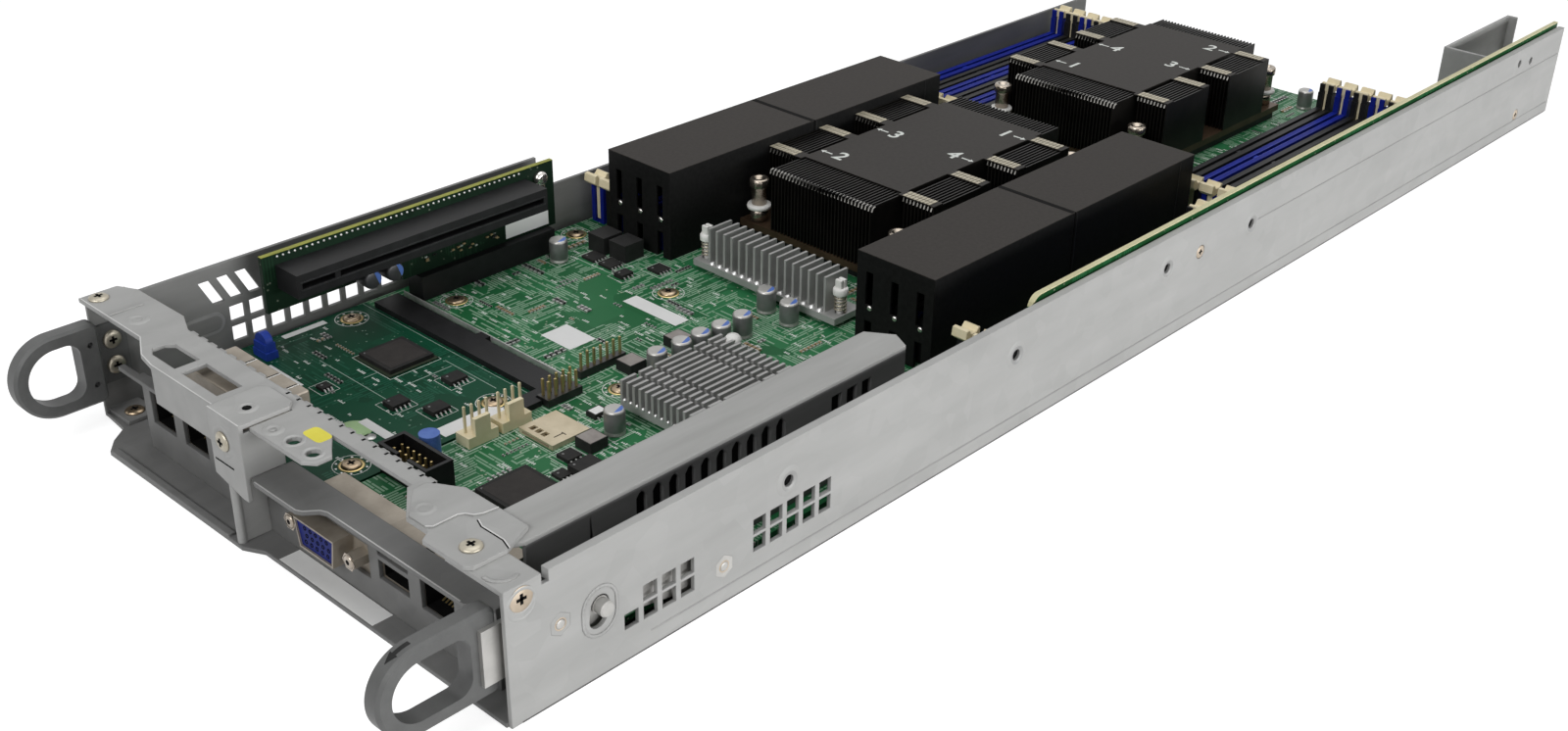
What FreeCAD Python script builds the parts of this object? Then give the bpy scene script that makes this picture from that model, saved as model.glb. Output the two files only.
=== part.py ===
import FreeCAD, Part
import math
import os

# Server node: an open sheet-metal tray with its boards, heat sinks, memory slots and front panel.
# Millimetres. X runs across the tray, +Y from the front panel to the far end, +Z up.
# Origin: middle of the tray's width, at the front edge of the right wall, on the underside.

V = FreeCAD.Vector

# Tray
node_width = 190.0
tray_length = 563.0
sheet = 1.2
wall_height = 36.8
left_wall_front = 6.3
left_wall_high = 34.6
left_wall_low = 23.1
left_wall_step = 165.5
tongue_reach = 3.6
lip_front = -0.6
hem_depth = 3.0
hem_start = 12.5
corner_tab_length = 10.5
corner_tab_reach = 20.0
fit_gap = 0.3

# Boards
standoff_height = 3.5
board_thickness = 1.6
board_front = 7.5
board_length = 478.5
board_side_gap = 1.3
board_right_gap = 5.3
card_depth = 82.0
card_notch_back = 26.0
card_right = -6.0
board_gap = 1.0
floor_end_gap = 2.0

# Front panel and bridge
panel_front = 6.0
panel_top = 24.0
panel_left_gap = 25.5
sill_overhang = 8.0
panel_right_gap = 9.8
ledge_reach = 3.8
ledge_nose = 8.6
ledge_depth = 2.5
bridge_front = -1.2
bridge_back = 16.0
bridge_bar = 4.5
bridge_lip = 10.0

# Release lever
lever_pivot_y = 66.3
lever_pivot_z = 10.8
lever_eye_r = 6.5
pivot_r = 2.5
pivot_clearance = 0.05
pivot_head_r = 4.0
arm_thickness = 1.2
arm_wall_gap = 1.4
latch_pin_y = 26.7
latch_pin_z = 20.1
latch_pin_r = 2.3
latch_nose_r = 2.1
latch_nose_length = 2.9
latch_nose_chamfer = 0.4
lever_travel = 5.0
slot_clearance = 0.4

# Ring handles
ring_thickness = 5.2
ring_rim = 3.8
ring_edge_chamfer = 0.8
lever_ring_tip = -31.0
lever_ring_root = 0.7
lever_ring_mid = 20.0
lever_ring_height = 23.0
ring_corner = 4.0
left_ring_tip = -19.4
left_ring_mid = 19.8
left_ring_height = 24.6
handle_screw_pitch = 8.0

# Memory slots
slot_width = 6.0
slot_height = 8.0
slot_span = 128.0
slot_pitch = 7.4
slot_wall_gap = 5.8
slot_right_gap = 12.8
front_bank_y = 187.0
rear_bank_y = 333.5
key_width = 1.6
key_depth = 5.0
tower_length = 4.5
tower_height = 14.4
channel_width = 2.6
latch_play = 0.2
latch_head_height = 4.2
latch_head_reach = 3.5
latch_head_width = 5.6
latch_pivot_drop = 1.9
latch_stem = 2.2

# Air shrouds over the inner front slots
shroud_wall = 0.8
shroud_width = 29.7
shroud_height = 31.3
shroud_length = 69.8
shroud_front = 183.3
shroud_seam = 0.5
right_shroud_gap = 1.4

# Heat sinks
front_sink_y = 216.2
rear_sink_y = 352.9
sink_length = 102.3
sink_wing_width = 13.5
sink_left_gap = 0.5
sink_right_gap = 15.5
sink_base = 2.5
sink_top = 34.3
sink_lid = 0.4
sink_pitch = 1.5
sink_fin = 0.45
lid_front_inset = 16.0
lid_back_inset = 10.0
wing_inset = 14.0
wing_notch = 15.0
strip_length = 4.6
socket_height = 3.0
nut_inset_x = 5.5
nut_inset_y = 3.65
nut_height = 15.5
nut_r = 2.9

# Riser
riser_wall_gap = 9.8
riser_front = 54.5
riser_back = 164.0
riser_top = 37.4
riser_step_y = 102.0
riser_step_z = 19.3
riser_socket_y = 107.0
riser_socket_length = 54.0
riser_socket_height = 8.2
riser_socket_width = 7.6
riser_slot_y = 58.8
riser_slot_length = 93.5
riser_slot_reach = 11.0
riser_slot_z = 26.4
riser_slot_height = 7.6

# Side board, guide rail and far bracket
side_board_front = 192.8
side_board_top = 38.4
side_board_drop = 8.0
side_board_corner = 4.0
side_board_gap = 2.0
rail_wall_gap = 10.8
rail_width = 13.5
rail_front = 12.0
rail_wall_front = 36.0
rail_back = 150.5
bracket_wall_gap = 4.3
bracket_width = 18.0
bracket_length = 61.0
bracket_end_gap = 3.0
bracket_height = 37.4

# Derived levels and faces
half = node_width / 2.0
inner = half - sheet
board_bottom = sheet + standoff_height
board_top = board_bottom + board_thickness
bridge_bottom = wall_height
bridge_top = bridge_bottom + sheet
board_left = -inner + board_side_gap
board_right = inner - board_right_gap
board_back = board_front + board_length
floor_back = board_back + floor_end_gap
panel_back = panel_front + sheet
arm_outer = inner - arm_wall_gap
arm_inner = arm_outer - arm_thickness
side_board_outer = inner - side_board_gap
side_board_inner = side_board_outer - board_thickness
panel_left = -inner + panel_left_gap
panel_right = inner - panel_right_gap
riser_x = -inner + riser_wall_gap
rail_x = inner - rail_wall_gap - rail_width
bracket_x = inner - bracket_wall_gap - bracket_width
bracket_back = tray_length - bracket_end_gap
bracket_front = bracket_back - bracket_length
left_slots = [-inner + slot_wall_gap + k * slot_pitch for k in range(6)]
right_slots = [inner - slot_right_gap - k * slot_pitch for k in range(6)]
sink_left = left_slots[-1] + slot_width / 2.0 + sink_left_gap
sink_right = right_slots[-1] - slot_width / 2.0 - sink_right_gap
sink_x = (sink_left + sink_right) / 2.0
sink_width = sink_right - sink_left
sink_core_width = sink_width - 2 * sink_wing_width
sink_bottom = board_top + socket_height
sink_base_top = sink_bottom + sink_base


def box(x0, x1, y0, y1, z0, z1):
    return Part.makeBox(x1 - x0, y1 - y0, z1 - z0, V(x0, y0, z0))


def rod_x(y, z, r, x0, x1):
    return Part.makeCylinder(r, x1 - x0, V(x0, y, z), V(1, 0, 0))


def rod_y(x, z, r, y0, y1):
    return Part.makeCylinder(r, y1 - y0, V(x, y0, z), V(0, 1, 0))


def rod_z(x, y, r, z0, z1):
    return Part.makeCylinder(r, z1 - z0, V(x, y, z0), V(0, 0, 1))


def prism_x(points, x0, x1):
    ring = [V(x0, y, z) for y, z in points]
    face = Part.Face(Part.makePolygon(ring + ring[:1]))
    return face.extrude(V(x1 - x0, 0, 0))


def prism_y(points, y0, y1):
    ring = [V(x, y0, z) for x, z in points]
    face = Part.Face(Part.makePolygon(ring + ring[:1]))
    return face.extrude(V(0, y1 - y0, 0))


def prism_z(points, z0, z1):
    ring = [V(x, y, z0) for x, y in points]
    face = Part.Face(Part.makePolygon(ring + ring[:1]))
    return face.extrude(V(0, 0, z1 - z0))


def many_sided(a, b, r, sides):
    # Corners of a small round that repeats, drawn with few faces.
    step = 2.0 * math.pi / sides
    return [(a + r * math.cos((k + 0.5) * step), b + r * math.sin((k + 0.5) * step)) for k in range(sides)]


def round_x(y, z, r, x0, x1, sides):
    return prism_x(many_sided(y, z, r, sides), x0, x1)


def round_y(x, z, r, y0, y1, sides):
    return prism_y(many_sided(x, z, r, sides), y0, y1)


def round_z(x, y, r, z0, z1, sides):
    return prism_z(many_sided(x, y, r, sides), z0, z1)


def stacked_z(x, y, levels, sides):
    # A stepped round post: (radius, bottom, top) of each step.
    return join([round_z(x, y, r, z0, z1, sides) for r, z0, z1 in levels])


def hexagon_x(y, z, across_flats, x0, x1):
    r = across_flats / math.sqrt(3.0)
    points = []
    for k in range(6):
        angle = math.radians(60.0 * k + 30.0)
        points.append((y + r * math.cos(angle), z + r * math.sin(angle)))
    return prism_x(points, x0, x1)


def upright_slot_x(y, z0, z1, r, x0, x1):
    # A slot along Z with a rounded top, cut through a plate that faces X.
    k = r * 0.42
    outline = [(y - r, z0), (y + r, z0), (y + r, z1 - r), (y + k, z1 - 0.2 * r), (y, z1),
               (y - k, z1 - 0.2 * r), (y - r, z1 - r)]
    return prism_x(outline, x0, x1)


def join(shapes):
    if len(shapes) == 1:
        return shapes[0]
    return shapes[0].fuse(shapes[1:]).removeSplitter()


def save(name, shapes):
    if not isinstance(shapes, list):
        shapes = [shapes]
    body = shapes[0] if len(shapes) == 1 else Part.makeCompound(shapes)
    body.exportStep("parts/" + name + ".step")


os.makedirs("parts", exist_ok=True)

# Fastener places, shared by the screws and by the holes that they pass through
screw_head_r = 2.9
screw_head_height = 1.5
screw_shank_r = 1.4
screw_hole_r = 1.6
countersunk_r = 3.4
screw_sides = 10
hole_sides = 8
bridge_screws = [(-half + 4.4, 8.6), (inner - 16.1, 5.3)]
handle_screw_y = left_wall_front + 4.7
handle_screw_z = [left_ring_mid - handle_screw_pitch / 2, left_ring_mid + handle_screw_pitch / 2]
foot_screw = (-inner + 6.4, left_wall_front + 5.2)
corner_screw = (4.9, 32.9)
flush_screw_r = 2.4
side_board_screw = (279.9, 25.5)
bracket_screw = (tray_length - 34.4, 7.1)
clip_screw = (-9.6, 31.6)
post_edge_gap = 6.5
board_posts = [(board_left + 6.9, 174.8), (board_left + 19.0, 114.6), (-30.4, 166.0), (5.6, 112.7),
               (40.0, 172.0),
               (62.0, 100.0), (20.0, 30.0), (sink_x, 335.0), (sink_x, board_back - 9.0),
               (board_left + 14.0, board_back - 8.0),
               (board_right - 18.0, board_back - 8.0)]
card_posts = [(board_left + post_edge_gap, 40.0), (board_left + post_edge_gap, 84.0),
              (card_right - 8.0, 34.0), (card_right - 8.0, 82.0)]
post_r = 2.6
side_board_posts = [(tray_length - 42.1, wall_height - hem_depth - post_r - fit_gap),
                    (tray_length - 30.5, 29.5)]


def pan_screw_z(x, y, z, shank):
    return stacked_z(x, y, [(screw_shank_r, z - shank, z), (screw_head_r, z, z + screw_head_height)],
                     screw_sides)


def pan_screw_x(y, z, x, way, shank):
    # way is +1 for a head that stands out along +X.
    head_end = x + way * screw_head_height
    shank_end = x - way * shank
    head = round_x(y, z, screw_head_r, min(x, head_end), max(x, head_end), screw_sides)
    stem = round_x(y, z, screw_shank_r, min(x, shank_end), max(x, shank_end), screw_sides)
    return join([head, stem])


def flush_seat(y, z, head_r):
    return Part.makeCone(screw_hole_r, head_r, sheet, V(inner, y, z), V(1, 0, 0))


def flush_screw_x(y, z, depth):
    # A screw whose head fills the wall's hole and whose shank goes on inwards.
    head = round_x(y, z, flush_screw_r - 0.1, inner, half, screw_sides)
    return join([head, round_x(y, z, screw_shank_r, inner - depth, inner, screw_sides)])


# Floor
def floor_pan():
    outline = [(-inner, left_wall_front), (-inner + 11.0, left_wall_front - 1.0), (-inner + 15.3, 0.0),
               (-inner + 20.0, -tongue_reach), (-8.0, -tongue_reach), (-2.0, lip_front), (inner, lip_front),
               (inner, floor_back), (-inner, floor_back)]
    pan = prism_z(outline, 0.0, sheet)
    hem = box(-inner + 21.0, -14.0, -tongue_reach, -tongue_reach + 2.0, sheet, 1.6 * sheet)
    x, y = foot_screw
    return join([pan, hem]).cut(round_z(x, y, screw_hole_r, 0.0, sheet, hole_sides))


# Walls
vent_square = 4.4
vent_pitch_y = 6.0
vent_pitch_z = 5.2
right_vent_front = (33.8, 8.9)
right_vent_back = (76.4, 9.9)
front_vent_columns = 4
back_vent_columns = 5
dimple_holes = [(88.9, 25.3), (182.6, 25.2), (260.4, 26.2), (311.3, 25.6)]
dimple_hole_r = 1.7
stud_flats = 5.6
wall_studs_at = [(15.1, 20.8)]


def vent_grid(start, columns, skip_first, x0, x1):
    y, z = start
    cells = []
    for row in range(2):
        for column in range(columns):
            if row == 1 and column < skip_first:
                continue
            y0 = y + column * vent_pitch_y
            z0 = z + row * vent_pitch_z
            cells.append(box(x0, x1, y0, y0 + vent_square, z0, z0 + vent_square))
    return cells


def pin_slot(x0, x1):
    # The latch pin's path: an arc about the lever's pivot, as wide as the pin and its clearance.
    r = latch_pin_r + slot_clearance
    reach = math.hypot(latch_pin_y - lever_pivot_y, latch_pin_z - lever_pivot_z)
    start = math.atan2(latch_pin_z - lever_pivot_z, latch_pin_y - lever_pivot_y)
    end = start + math.radians(lever_travel)
    centre = V(x0, lever_pivot_y, lever_pivot_z)

    def at(radius, angle):
        return centre + V(0, radius * math.cos(angle), radius * math.sin(angle))

    middle = (start + end) / 2.0
    outer = Part.Arc(at(reach + r, start), at(reach + r, middle), at(reach + r, end)).toShape()
    near = Part.Arc(at(reach - r, end), at(reach - r, middle), at(reach - r, start)).toShape()
    low = Part.makeLine(at(reach + r, end), at(reach - r, end))
    high = Part.makeLine(at(reach - r, start), at(reach + r, start))
    band = Part.Face(Part.Wire([outer, low, near, high])).extrude(V(x1 - x0, 0, 0))
    ends = []
    for angle in (start, end):
        spot = at(reach, angle)
        ends.append(rod_x(spot.y, spot.z, r, x0, x1))
    return band.fuse(ends).removeSplitter()


def right_wall():
    plate = box(inner, half, 0.0, tray_length, 0.0, wall_height)
    hem = box(inner - sheet, inner, hem_start, tray_length, wall_height - hem_depth, wall_height)
    tab = box(half - corner_tab_reach, inner, 0.0, corner_tab_length, wall_height - sheet, wall_height)
    wall = join([plate, hem, tab])
    cuts = vent_grid(right_vent_front, front_vent_columns, 1, inner, half)
    cuts += vent_grid(right_vent_back, back_vent_columns, 0, inner, half)
    cuts.append(pin_slot(inner, half))
    cuts.append(box(inner, half, corner_tab_length, hem_start, wall_height - hem_depth, wall_height))
    for y, z in dimple_holes:
        cuts.append(round_x(y, z, dimple_hole_r, inner, half, 16))
    for y, z in wall_studs_at:
        cuts.append(hexagon_x(y, z, stud_flats, inner, half))
    cuts.append(hexagon_x(lever_pivot_y, lever_pivot_z, stud_flats, inner, half))
    for y, z in side_board_posts:
        cuts.append(round_x(y, z, screw_hole_r, inner, half, screw_sides))
    cuts.append(flush_seat(*corner_screw, countersunk_r))
    for y, z in (side_board_screw, bracket_screw):
        cuts.append(round_x(y, z, flush_screw_r, inner, half, screw_sides))
    x, y = bridge_screws[1]
    cuts.append(round_z(x, y, screw_hole_r, wall_height - sheet, wall_height, hole_sides))
    return wall.cut(cuts)


left_vent_square = 5.0
left_vent_pitch = 6.6
left_vent_start = (48.2, 8.6)
left_vent_columns = 9
slant_vent_start = 39.5
slant_vent_pitch = 6.0
slant_vent_width = 3.6
slant_vent_lean = 4.0


def left_wall():
    tab_end = left_wall_front + 12.0
    outline = [(left_wall_front, 0.0), (floor_back, 0.0), (floor_back, left_wall_low),
               (left_wall_step + 5.0, left_wall_low), (left_wall_step, left_wall_low + 5.0),
               (left_wall_step, left_wall_high), (tab_end, left_wall_high), (tab_end, bridge_bottom),
               (left_wall_front, bridge_bottom)]
    plate = prism_x(outline, -half, -inner)
    tab = box(-inner, -inner + 9.8, left_wall_front, tab_end, bridge_bottom - sheet, bridge_bottom)
    foot = box(-inner, -inner + 11.0, left_wall_front + 0.8, left_wall_front + 10.0, sheet, 2 * sheet)
    wall = join([plate, tab, foot])
    cuts = []
    for row in range(2):
        for column in range(left_vent_columns):
            y = left_vent_start[0] + column * left_vent_pitch
            z = left_vent_start[1] + row * left_vent_pitch
            cuts.append(box(-half, -inner, y, y + left_vent_square, z, z + left_vent_square))
    for column in range(3):
        y = slant_vent_start + column * slant_vent_pitch
        low = left_vent_start[1] + 2 * left_vent_pitch + 0.8
        high = left_wall_high - 4.0
        slant = [(y + slant_vent_lean, low), (y + slant_vent_lean + slant_vent_width, low),
                 (y + slant_vent_width, high), (y, high)]
        cuts.append(prism_x(slant, -half, -inner))
    for z in handle_screw_z:
        cuts.append(round_x(handle_screw_y, z, screw_hole_r, -half, -inner, hole_sides))
    x, y = bridge_screws[0]
    cuts.append(round_z(x, y, screw_hole_r, bridge_bottom - sheet, bridge_bottom, hole_sides))
    x, y = foot_screw
    cuts.append(round_z(x, y, screw_hole_r, sheet, 2 * sheet, hole_sides))
    return wall.cut(cuts)


# Ports of the front panel: left, right, bottom, top
network_ports = [(-64.6, -53.0, 10.2, 20.6), (-48.4, -36.8, 10.2, 20.6)]
lan_port = (55.4, 68.2, 9.6, 20.0)
usb_ports = [(38.7, 50.7, 9.9, 15.4), (38.7, 50.7, 16.7, 21.4)]
vga_middle = (18.8, 12.6)
vga_shell = (16.9, 8.4)
vga_flange = (30.8, 11.0)
vga_screw_span = 25.0


def io_panel():
    plate = box(panel_left, panel_right, panel_front, panel_back, sheet, panel_top)
    near, nose, back = panel_front - ledge_reach, panel_front - ledge_nose, panel_back + ledge_depth
    ledge_outline = [(clip_right + 0.2, back), (clip_right + 0.2, nose + 0.8), (clip_right + 2.0, nose),
                     (18.6, nose),
                     (20.4, nose + 0.8), (23.0, near - 0.8), (25.0, near), (panel_right - 7.0, near),
                     (panel_right, panel_front), (panel_right, back)]
    ledge = prism_z(ledge_outline, panel_top - sheet, panel_top)
    sill = box(panel_left - sill_overhang, clip_left - fit_gap, panel_front - 2.0, panel_front,
               panel_top - sheet, panel_top)
    panel = join([plate, ledge, sill])
    cuts = []
    for x0, x1, z0, z1 in network_ports + usb_ports + [lan_port]:
        cuts.append(box(x0, x1, panel_front, panel_back, z0, z1))
    x, z = vga_middle
    wide = (vga_screw_span + 7.0) / 2.0
    tall = vga_flange[1] / 2.0 - 0.6
    cuts.append(box(x - wide, x + wide, panel_front, panel_back, z - tall, z + tall))
    return panel.cut(cuts)


clip_left = -15.6
clip_right = -1.2
clip_front = -3.4
clip_face_bottom = 17.4
divider_x = -9.8
window_rail_front = 2.2
window_rail_back = 9.4
tongue_holes_x = (11.9, 20.0)
tongue_hole_y = 3.5
tongue_hole_r = 1.9


def front_bridge():
    low, high = bridge_bottom, bridge_top
    left_end, left_front = -half + 0.6, left_wall_front - 1.6
    bar_front = bridge_back - bridge_bar
    left = prism_z([(left_end, left_front), (-62.0, left_front), (-53.0, bridge_front + 1.2),
                    (-46.0, bridge_front),
                    (clip_left - fit_gap, bridge_front), (clip_left - fit_gap, bridge_back),
                    (-57.0, bridge_back),
                    (-65.0, bridge_back + 3.4), (left_end + 6.0, bridge_back + 3.0),
                    (left_end, bridge_back)], low, high)
    windows = [prism_z([(-54.0, window_rail_front + 1.6), (-51.0, window_rail_front),
                        (-40.0, window_rail_front),
                        (-40.0, window_rail_back), (-52.0, window_rail_back),
                        (-54.0, window_rail_back - 2.0)], low, high),
               box(-37.0, -20.0, window_rail_front, window_rail_back, low, high)]
    lip = box(-46.0, clip_left - fit_gap, bridge_front, bridge_front + sheet, low - bridge_lip, low)
    bar = box(clip_left - fit_gap, 60.0, bar_front, bridge_back, low, high)
    tongue = prism_z([(clip_right + fit_gap, bar_front), (clip_right + fit_gap, bridge_front + 0.6),
                      (21.0, bridge_front + 0.6),
                      (24.0, bridge_front + 3.0), (24.0, 6.0), (20.0, 8.6), (16.0, bar_front)], low, high)
    edge = panel_right
    right = prism_z([(48.0, 10.0), (58.0, 2.4), (edge - 18.0, 2.4), (edge - 16.0, -0.6), (edge - 1.6, -0.6),
                     (edge, 1.0),
                     (edge, 10.4), (edge - 4.0, 19.5), (58.0, 19.5), (48.0, 14.0)], low, high)
    bridge = join([left.cut(windows), lip, bar, tongue, right])
    cuts = [round_z(x, y, screw_hole_r, low, high, hole_sides) for x, y in bridge_screws]
    cuts += [round_z(x, tongue_hole_y, tongue_hole_r, low, high, screw_sides) for x in tongue_holes_x]
    return bridge.cut(cuts)


def centre_clip():
    back = bridge_back - 3.0
    top = prism_z([(clip_left, clip_front), (clip_right, clip_front), (clip_right, back - 2.0),
                   (clip_right - 2.0, back),
                   (clip_left + 2.0, back), (clip_left, back - 2.0)], bridge_top, bridge_top + sheet)
    face = prism_y([(clip_left, bridge_top), (clip_right, bridge_top), (clip_right, clip_face_bottom),
                    (clip_right - 2.5, clip_face_bottom), (clip_left, clip_face_bottom + 2.8)], clip_front,
                    clip_front + sheet)
    cheek = box(clip_right - sheet, clip_right, clip_front + sheet, panel_front + 2.0, panel_top,
                bridge_bottom)
    half_sheet = sheet / 2.0
    divider = box(divider_x - half_sheet, divider_x + half_sheet, clip_front + sheet, panel_front, sheet,
                  panel_top - 2 * sheet)
    rolled = round_z(divider_x, clip_front + sheet, sheet, sheet, panel_top - 2 * sheet, 16)
    clip = join([top, face, cheek, divider, rolled])
    x, z = clip_screw
    return clip.cut(round_y(x, z, screw_hole_r, clip_front, clip_front + sheet, hole_sides))


# Air guide rail beside the release lever
guide_slots = 10
guide_slot_start = 50.8
guide_slot_pitch = 5.3
guide_slot_r = 1.65
guide_slot_low = 17.0
guide_window_start = 117.8
guide_window_pitch = 6.0
guide_window_width = 3.8
guide_window_height = 5.2


def air_guide_rail():
    right = rail_x + rail_width
    flange_outline = [(rail_x + 4.0, rail_front), (right - 2.0, rail_front), (right, rail_front + 4.0),
                      (right, rail_back - 3.0), (right - 6.0, rail_back), (rail_x, rail_back - 5.0),
                      (rail_x, rail_front + 8.0)]
    flange = prism_z(flange_outline, bridge_bottom - sheet, bridge_bottom)
    web = box(right - sheet, right, rail_front + 4.0, rail_back - 3.0, board_top, bridge_bottom)
    foot = box(right - 7.0, right - sheet, rail_wall_front, rail_wall_front + 14.0, board_top,
               board_top + sheet)
    rail = join([flange, web, foot])
    x0 = right - sheet
    cuts = []
    for k in range(guide_slots):
        y = guide_slot_start + k * guide_slot_pitch
        cuts.append(upright_slot_x(y, guide_slot_low, bridge_bottom - 2.6, guide_slot_r, x0, right))
    for k in range(3):
        y = guide_window_start + k * guide_window_pitch
        for z in (bridge_bottom - 16.0, bridge_bottom - 9.4):
            cuts.append(box(x0, right, y, y + guide_window_width, z, z + guide_window_height))
    y = rail_wall_front
    cuts.append(prism_x([(y - 1.0, bridge_bottom - 2.0), (y - 2.6, board_top), (y + 2.2, board_top)], x0,
                        right))
    return rail.cut(cuts)


bracket_flange_height = 11.0
bracket_lip = 4.5
bracket_hole_r = 6.0


def far_bracket():
    # Stands beyond the floor's end, screwed to the right wall by a flange on its foot.
    x0, x1 = bracket_x, bracket_x + bracket_width
    web = box(x0, x0 + sheet, bracket_front, bracket_back, 0.0, bracket_height)
    front = box(x0, x1, bracket_front, bracket_front + sheet, 0.0, bracket_height)
    lip = box(x0, x0 + bracket_lip, bracket_back - sheet, bracket_back, bracket_height - 15.0, bracket_height)
    foot = box(x0, inner, bracket_front, bracket_back, 0.0, sheet)
    flange = box(inner - sheet, inner, bracket_front + 14.0, bracket_back - 14.0, 0.0, bracket_flange_height)
    bracket = join([web, front, lip, foot, flange])
    y, z = bracket_screw
    hole = round_x(y, z, screw_hole_r, inner - sheet, inner, hole_sides)
    return bracket.cut([rod_z((x0 + x1) / 2.0 + 1.0, bracket_back - 14.0, bracket_hole_r, 0.0, sheet), hole])


# Ring handles
def ring_outline(tip, root, mid, height, corner, x):
    # A loop seen along X: a half-round tip and a straight root with rounded corners.
    r = height / 2.0
    low, high = mid - r, mid + r
    k = corner * (1.0 - math.sqrt(0.5))
    tip_arc = Part.Arc(V(x, tip + r, high), V(x, tip, mid), V(x, tip + r, low)).toShape()
    bottom = Part.makeLine(V(x, tip + r, low), V(x, root - corner, low))
    low_arc = Part.Arc(V(x, root - corner, low), V(x, root - k, low + k), V(x, root, low + corner)).toShape()
    end = Part.makeLine(V(x, root, low + corner), V(x, root, high - corner))
    high_arc = Part.Arc(V(x, root, high - corner), V(x, root - k, high - k),
                        V(x, root - corner, high)).toShape()
    top = Part.makeLine(V(x, root - corner, high), V(x, tip + r, high))
    return Part.Face(Part.Wire([tip_arc, bottom, low_arc, end, high_arc, top]))


def ring_handle(tip, root, mid, height, x0, plate):
    # A closed finger loop with a round tip and a flat plate at its root.
    body = ring_outline(tip, root, mid, height, ring_corner / 2.0, x0).extrude(V(ring_thickness, 0, 0))
    rims = [e for e in body.Edges if e.BoundBox.XLength < 0.01 and e.BoundBox.YMax < root - 0.1]
    body = body.makeChamfer(ring_edge_chamfer, rims)
    hole = ring_outline(tip + ring_rim, root - plate, mid, height - 2 * ring_rim, ring_corner, x0)
    return body.cut(hole.extrude(V(ring_thickness, 0, 0)))


lever_plate = 7.2
left_plate = 6.0
rivet_r = 0.9


def lever_handle():
    x0 = arm_inner - ring_thickness
    ring = ring_handle(lever_ring_tip, lever_ring_root, lever_ring_mid, lever_ring_height, x0, lever_plate)
    y = lever_ring_root - 2.9
    cuts = [round_x(y, lever_ring_mid + way * 6.3, rivet_r, x0, arm_inner, hole_sides) for way in (-1, 1)]
    return ring.cut(cuts)


def left_handle():
    x0 = -inner - fit_gap
    root = left_wall_front - fit_gap
    ring = ring_handle(left_ring_tip, root, left_ring_mid, left_ring_height, x0, left_plate)
    y = root - 2.9
    cuts = [round_x(y, left_ring_mid + way * 6.2, rivet_r, x0, x0 + ring_thickness,
                    hole_sides) for way in (-1, 1)]
    ring = ring.cut(cuts)
    tongue = box(-inner, -inner + sheet, root, handle_screw_y + 4.5, left_ring_mid - 9.0, left_ring_mid + 9.0)
    handle = ring.fuse(tongue).removeSplitter()
    holes = [round_x(handle_screw_y, z, screw_hole_r, -inner, -inner + sheet,
                     hole_sides) for z in handle_screw_z]
    return handle.cut(holes)


# Release lever
def lever_arm():
    mid, r = lever_ring_mid, lever_ring_height / 2.0
    strip = [(lever_ring_root - lever_plate + 2.0, mid - r + 4.0), (lever_ring_root + 4.0, mid - r + 4.0),
             (latch_pin_y + 6.0, latch_pin_z - 8.0), (lever_pivot_y, lever_pivot_z - lever_eye_r + 1.0),
             (lever_pivot_y, lever_pivot_z + lever_eye_r), (latch_pin_y + 8.0, latch_pin_z + 5.5),
             (lever_ring_root + 4.0, mid + r - 4.0), (lever_ring_root - lever_plate + 2.0, mid + r - 4.0)]
    plate = prism_x(strip, arm_inner, arm_outer)
    eye = rod_x(lever_pivot_y, lever_pivot_z, lever_eye_r, arm_inner, arm_outer)
    bore = rod_x(lever_pivot_y, lever_pivot_z, pivot_r + pivot_clearance, arm_inner, arm_outer)
    return plate.fuse(eye).removeSplitter().cut(bore)


def lever_pivot():
    y, z = lever_pivot_y, lever_pivot_z
    play = 0.1
    clinch = hexagon_x(y, z, stud_flats, inner, half)
    collar = round_x(y, z, pivot_head_r, arm_outer + play, inner, 24)
    shaft = rod_x(y, z, pivot_r, arm_inner - play, inner)
    head = round_x(y, z, pivot_head_r, arm_inner - play - 1.0, arm_inner - play, 24)
    return join([clinch, collar, shaft, head])


def latch_pin():
    end = half + latch_nose_length
    pin = rod_x(latch_pin_y, latch_pin_z, latch_pin_r, arm_outer, half)
    nose = rod_x(latch_pin_y, latch_pin_z, latch_nose_r, half, end)
    tip = [e for e in nose.Edges if e.BoundBox.XMin > end - 0.01]
    return pin.fuse(nose.makeChamfer(latch_nose_chamfer, tip)).removeSplitter()


spring_wire = 0.9
spring_turns = 3
spring_sides = 16


def lever_spring():
    # A torsion spring behind the pivot's head: stacked turns and the leg that bears on the wall's side.
    y, z = lever_pivot_y, lever_pivot_z
    x1 = arm_inner - 0.1 - 1.0
    outer, waist, bore = pivot_head_r, pivot_head_r - 0.35, pivot_head_r - spring_wire
    pitch = 1.2 * spring_wire
    pieces = []
    for k in range(spring_turns):
        x = x1 - k * pitch
        pieces.append(round_x(y, z, outer, x - spring_wire, x, spring_sides))
        if k < spring_turns - 1:
            pieces.append(round_x(y, z, waist, x - pitch, x - spring_wire, spring_sides))
    pieces.append(box(x1 - spring_wire, x1, y, y + 16.0, z - outer, z - bore))
    coil = join(pieces)
    return coil.cut(round_x(y, z, bore, x1 - spring_turns * pitch, x1, spring_sides))


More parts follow.
